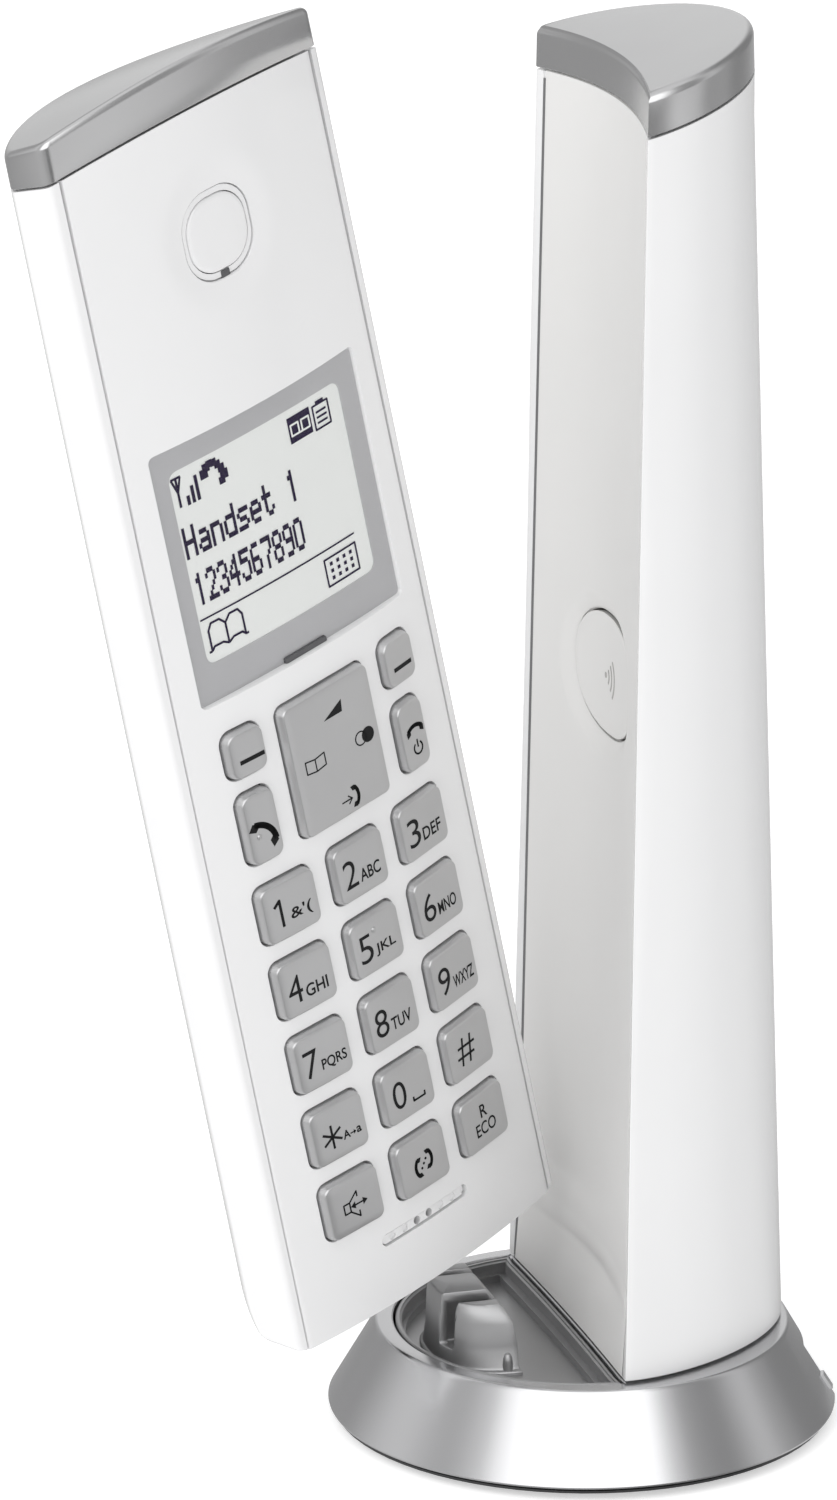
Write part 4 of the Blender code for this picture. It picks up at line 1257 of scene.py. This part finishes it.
legend = {}
WORDS = {"1": "&'(", "2": "ABC", "3": "DEF", "4": "GHI", "5": "JKL", "6": "MNO", "7": "PQRS", "8": "TUV",
         "9": "WXYZ"}
for digit, extra in WORDS.items():
    if digit == "1":
        legend["key_1"] = bar([(-2.7, 0.95), (-1.7, 1.7), (-1.7, -2.15)], 0.44)
        legend["key_1"] += letters("&'(", -0.3, 3.3, -2.2, -0.1, 0.012)
        continue
    wide = 4.2 if len(extra) == 4 else 3.7
    legend["key_" + digit] = letters(digit, -3.3, -0.95, -2.15, 1.85, -0.004)
    legend["key_" + digit] += letters(extra, -0.5, -0.5 + wide, -2.1, -0.25, 0.014)
star = []
for a in (90, 30, 150):
    dx, dz = 1.75 * math.cos(math.radians(a)), 1.75 * math.sin(math.radians(a))
    star += bar([(-1.3 - dx, -0.4 - dz), (-1.3 + dx, -0.4 + dz)], 0.36)
star += letters("A", 0.4, 1.6, -1.7, -0.4, 0.02) + letters("a", 2.7, 3.5, -1.7, -0.75, 0.02)
star += bar([(1.6, -1.25), (2.4, -1.25)], 0.18) + [[(2.2, -1.6), (2.6, -1.25), (2.2, -0.9)]]
legend["key_star"] = star
legend["key_0"] = letters("0", -2.9, -0.5, -2.1, 1.9, -0.004)
legend["key_0"] += bar([(0.6, -1.5), (0.6, -2.1), (2.7, -2.1), (2.7, -1.5)], 0.3)
legend["key_hash"] = bar([(-1.9, -2.1), (-1.2, 1.9)], 0.36) + bar([(-0.3, -2.1), (0.4, 1.9)], 0.36)
legend["key_hash"] += bar([(-2.4, 0.6), (1.1, 0.6)], 0.36) + bar([(-2.7, -0.85), (0.8, -0.85)], 0.36)
speaker = loop([(-1.9, -0.9), (-1.9, 0.5), (-0.9, 0.5), (-0.9, -0.9)], 0.24)
for horn in ([(-0.9, 0.5), (0.5, 1.7), (0.5, 0.9)], [(-0.9, -0.9), (0.5, -2.1), (0.5, -1.2)]):
    speaker += bar(horn, 0.24)
speaker += bar([(-0.5, -0.2), (1.9, -0.2)], 0.24) + [[(1.3, -0.75), (2.1, -0.2), (1.3, 0.35)]]
speaker += [[(0.0, -0.75), (-0.8, -0.2), (0.0, 0.35)]]
legend["key_speaker"] = speaker
call = handset_icon(-1.35, -0.5, 1.3, 90) + handset_icon(1.35, 0.1, 1.3, -90)
for dx, dz in ((-0.45, -0.75), (0.0, -0.2), (0.45, 0.35)):
    call.append(blob(dx, dz, 0.2, 12))
legend["key_intercom"] = call
legend["key_recall"] = letters("R", -0.6, 0.75, 0.4, 2.3, 0.01) + letters("ECO", -2.0, 2.1, -2.1, -0.2, 0.01)
legend["key_soft_left"] = bar([(-1.5, -0.95), (2.5, -0.95)], 0.6)
legend["key_soft_right"] = bar([(-1.5, -0.95), (2.1, -0.95)], 0.6)
legend["key_talk"] = handset_icon(0.5, -0.5, 2.2, -45)
power = arc(0.3, -2.0, 0.85, 125, 415, 20)
legend["key_off"] = handset_icon(0.3, 1.05, 1.5, 0) + bar(power, 0.27)
legend["key_off"] += bar([(0.3, -1.9), (0.3, -0.75)], 0.27)
nav = [[(-1.2, 5.0), (2.2, 5.0), (2.4, 6.7)]]
nav += loop(arc(4.4, -0.1, 0.95, 0, 342, 19), 0.2) + [blob(5.75, -0.1, 1.1, 26)]
for side in (-1, 1):
    nav += loop([(-4.0, -1.0), (-4.0, 0.75), (-4.0 + side * 1.75, 1.0), (-4.0 + side * 1.75, -0.75)], 0.2)
nav += bar([(-1.0, -7.3), (0.9, -7.3)], 0.2) + bar([(0.2, -6.7), (0.9, -7.3), (0.2, -7.9)], 0.2)
nav += handset_icon(1.9, -7.2, 1.35, -90)
legend["key_navigator"] = nav
for name, cx, cz, w, h, r in KEYS_AT:
    print_on(name + "_mark", shifted(legend[name], cx, cz), key_plane(cx, cz, -KEY_RISE), 0.03, name)
BEAD = [(0.42, -0.05), (0.4, 0.08), (0.26, 0.2), (0.05, 0.24)]
BEADS_AT = (("key_5", 0.0, KEY_TOP_Z - KEY_PITCH_Z, -0.2, 1.9), ("key_talk", -14.2, -100.7, -0.9, -1.1))
for name, cx, cz, dx, dz in BEADS_AT:
    y = key_plane(cx, cz, -KEY_RISE)(cx + dx, cz)
    bead = stack(name + "_bead", (cx + dx, y, cz + dz), (0, -1, 0), BEAD, 18, pose=POSE)
    dress(bead, name, "key_silver")

# ---------------------------------------------------------------- CAD nodes that stay

LOOKS = {
    "black_plastic": ["bottom_plate", "page_switch", "line_socket", "power_socket", "hs_receiver",
                      "hs_microphone", "hs_ringer", "hs_dock_socket"],
    "rubber_black": ["foot_pad", "hs_keypad_mat"],
    "steel": ["base_weight", "base_screw_left", "base_screw_right", "antenna", "tower_ballast",
              "charge_pin_left", "charge_pin_right", "hs_cell_contact_top", "hs_cell_contact_foot",
              "hs_screw_left", "hs_screw_right"],
    "board_green": ["base_board", "hs_board"],
    "cell_wrap": ["hs_cell_left", "hs_cell_right"],
    "contact_gold": ["hs_charge_pad_left", "hs_charge_pad_right"],
}
for look, names in LOOKS.items():
    for name in names:
        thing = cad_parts[name]
        if not thing.material_slots:
            thing.data.materials.append(None)
        for place in thing.material_slots:
            place.material = MATERIALS[look]

# ---------------------------------------------------------------- floor, light and camera

floor_mesh = bpy.data.meshes.new("floor")
floor_mesh.from_pydata([(-9, -9, 0), (9, -9, 0), (9, 9, 0), (-9, 9, 0)], [], [(0, 1, 2, 3)])
floor = in_scene("floor", floor_mesh)
floor_look = shade(
    "floor_pale", (0.93, 0.93, 0.93), 0.7, mottle=0.002, grain=0.0,
    sockets={"Emission Color": (1, 1, 1, 1), "Emission Strength": 0.5, "Specular IOR Level": 0.0},
)
floor_mesh.materials.append(floor_look)
floor.location.z = -0.0002

VIEW_AZ = -16.6  # where the camera stands: degrees about Z from +X, and degrees up
VIEW_UP = 16.5492
VIEW_FROM = (0.951646, -0.307196, 0.391645)


def ramp_round(tree, vector, stops):
    """Grey by the angle about Z: stops are (degrees to the right of the camera's side, value)."""
    spin = node(tree, "Mapping", {"Vector": vector, "Rotation": (0, 0, math.radians(-VIEW_AZ))})
    around = node(tree, "TexGradient", {"Vector": spin.outputs["Vector"]}, gradient_type="RADIAL")
    bands = node(tree, "ValToRGB", {"Fac": around.outputs["Color"]})
    bands.color_ramp.interpolation = "EASE"
    marks = bands.color_ramp.elements
    marks.remove(marks[-1])
    for k, (degrees, value) in enumerate(stops):
        mark = marks[0] if k == 0 else marks.new((degrees + 180) / 360)
        mark.position = (degrees + 180) / 360
        mark.color = (value, value, value, 1)
    return bands.outputs["Color"]


def blend_grey(tree, share, low, high):
    """Colour low where share is 0, and high where it is 1."""
    mix = node(tree, "Mix", data_type="RGBA")
    feed(tree, mix.inputs, {0: share, 6: low, 7: high})
    return mix.outputs[2]


# greys all round the object: what polished surfaces reflect, and what lights the rest
SHINE = [(-180, 0.85), (-150, 0.5), (-134, 0.4), (-96, 0.82), (-69, 0.55), (-52, 0.8), (-43, 1.5), (-34, 1.9),
         (36, 1.9), (46, 0.9), (57, 0.42), (73, 0.33), (94, 0.75), (108, 0.45), (120, 0.3), (150, 0.28),
         (180, 0.85)]
GLOW = [(-180, 0.45), (-120, 0.7), (-75, 0.95), (-30, 1.1), (0, 1.0), (30, 0.82), (60, 0.56), (100, 0.42),
        (180, 0.45)]
world = bpy.data.worlds.new("studio")
C.scene.world = world
world.use_nodes = True
tree = world.node_tree
tree.nodes.clear()
way = node(tree, "TexCoord").outputs["Generated"]
up = node(tree, "SeparateXYZ", {"Vector": way}).outputs["Z"]
high = node(tree, "MapRange", {"Value": up, "From Min": 0.8, "From Max": 0.96}, interpolation_type="SMOOTHSTEP")
shine = blend_grey(tree, high.outputs["Result"], ramp_round(tree, way, SHINE), (0.9, 0.9, 0.9, 1))
glow = blend_grey(tree, high.outputs["Result"], ramp_round(tree, way, GLOW), (0.85, 0.85, 0.85, 1))
glossy = node(tree, "LightPath").outputs["Is Glossy Ray"]
back = node(tree, "Background", {"Color": blend_grey(tree, glossy, glow, shine)})
node(tree, "OutputWorld", {"Surface": back.outputs["Background"]})

# painted reflection: glossy rays see grey bands on the floor, so the floor looks darker in the metal than it is
FLOOR_SHINE = [(-180, 0.55), (-147, 0.38), (-110, 0.4), (-80, 0.6), (-45, 0.6), (0, 0.46), (20, 0.22),
               (35, 0.24), (62, 0.85), (80, 0.75), (94, 0.4), (111, 0.45), (125, 0.3), (180, 0.55)]
tree = floor_look.node_tree
place = node(tree, "TexCoord").outputs["Object"]
glint = node(tree, "Emission", {"Color": ramp_round(tree, place, FLOOR_SHINE)}).outputs["Emission"]
glossy = node(tree, "LightPath").outputs["Is Glossy Ray"]
plain = tree.nodes["Principled BSDF"].outputs["BSDF"]
swap = node(tree, "MixShader", {0: glossy, 1: plain, 2: glint})
feed(tree, tree.nodes["Material Output"].inputs, {"Surface": swap.outputs["Shader"]})

# one area light, up to the left of the camera, that looks at the middle of the object
a, e = math.radians(VIEW_AZ - 50), math.radians(40)
way = Vector((math.cos(a) * math.cos(e), math.sin(a) * math.cos(e), math.sin(e)))
light = bpy.data.lights.new("left_box", "AREA")
light.shape = "RECTANGLE"
light.size = light.size_y = 0.7
light.energy = 2.0
lamp = in_scene("left_box", light)
lamp.location = Vector((0, 0, 0.1)) + way * 1.1
lamp.rotation_euler = way.to_track_quat("Z", "Y").to_euler()
lamp.visible_glossy = False

camera = in_scene("camera", bpy.data.cameras.new("camera"))
camera.data.lens = 185.675
camera.data.sensor_width = 36
camera.data.clip_start = 0.01
camera.data.clip_end = 50.0
camera.location = VIEW_FROM
camera.rotation_euler = (math.radians(90 - VIEW_UP), 0, math.radians(90 + VIEW_AZ))
C.scene.camera = camera
C.scene.view_settings.view_transform = "Standard"

C.view_layer.update()
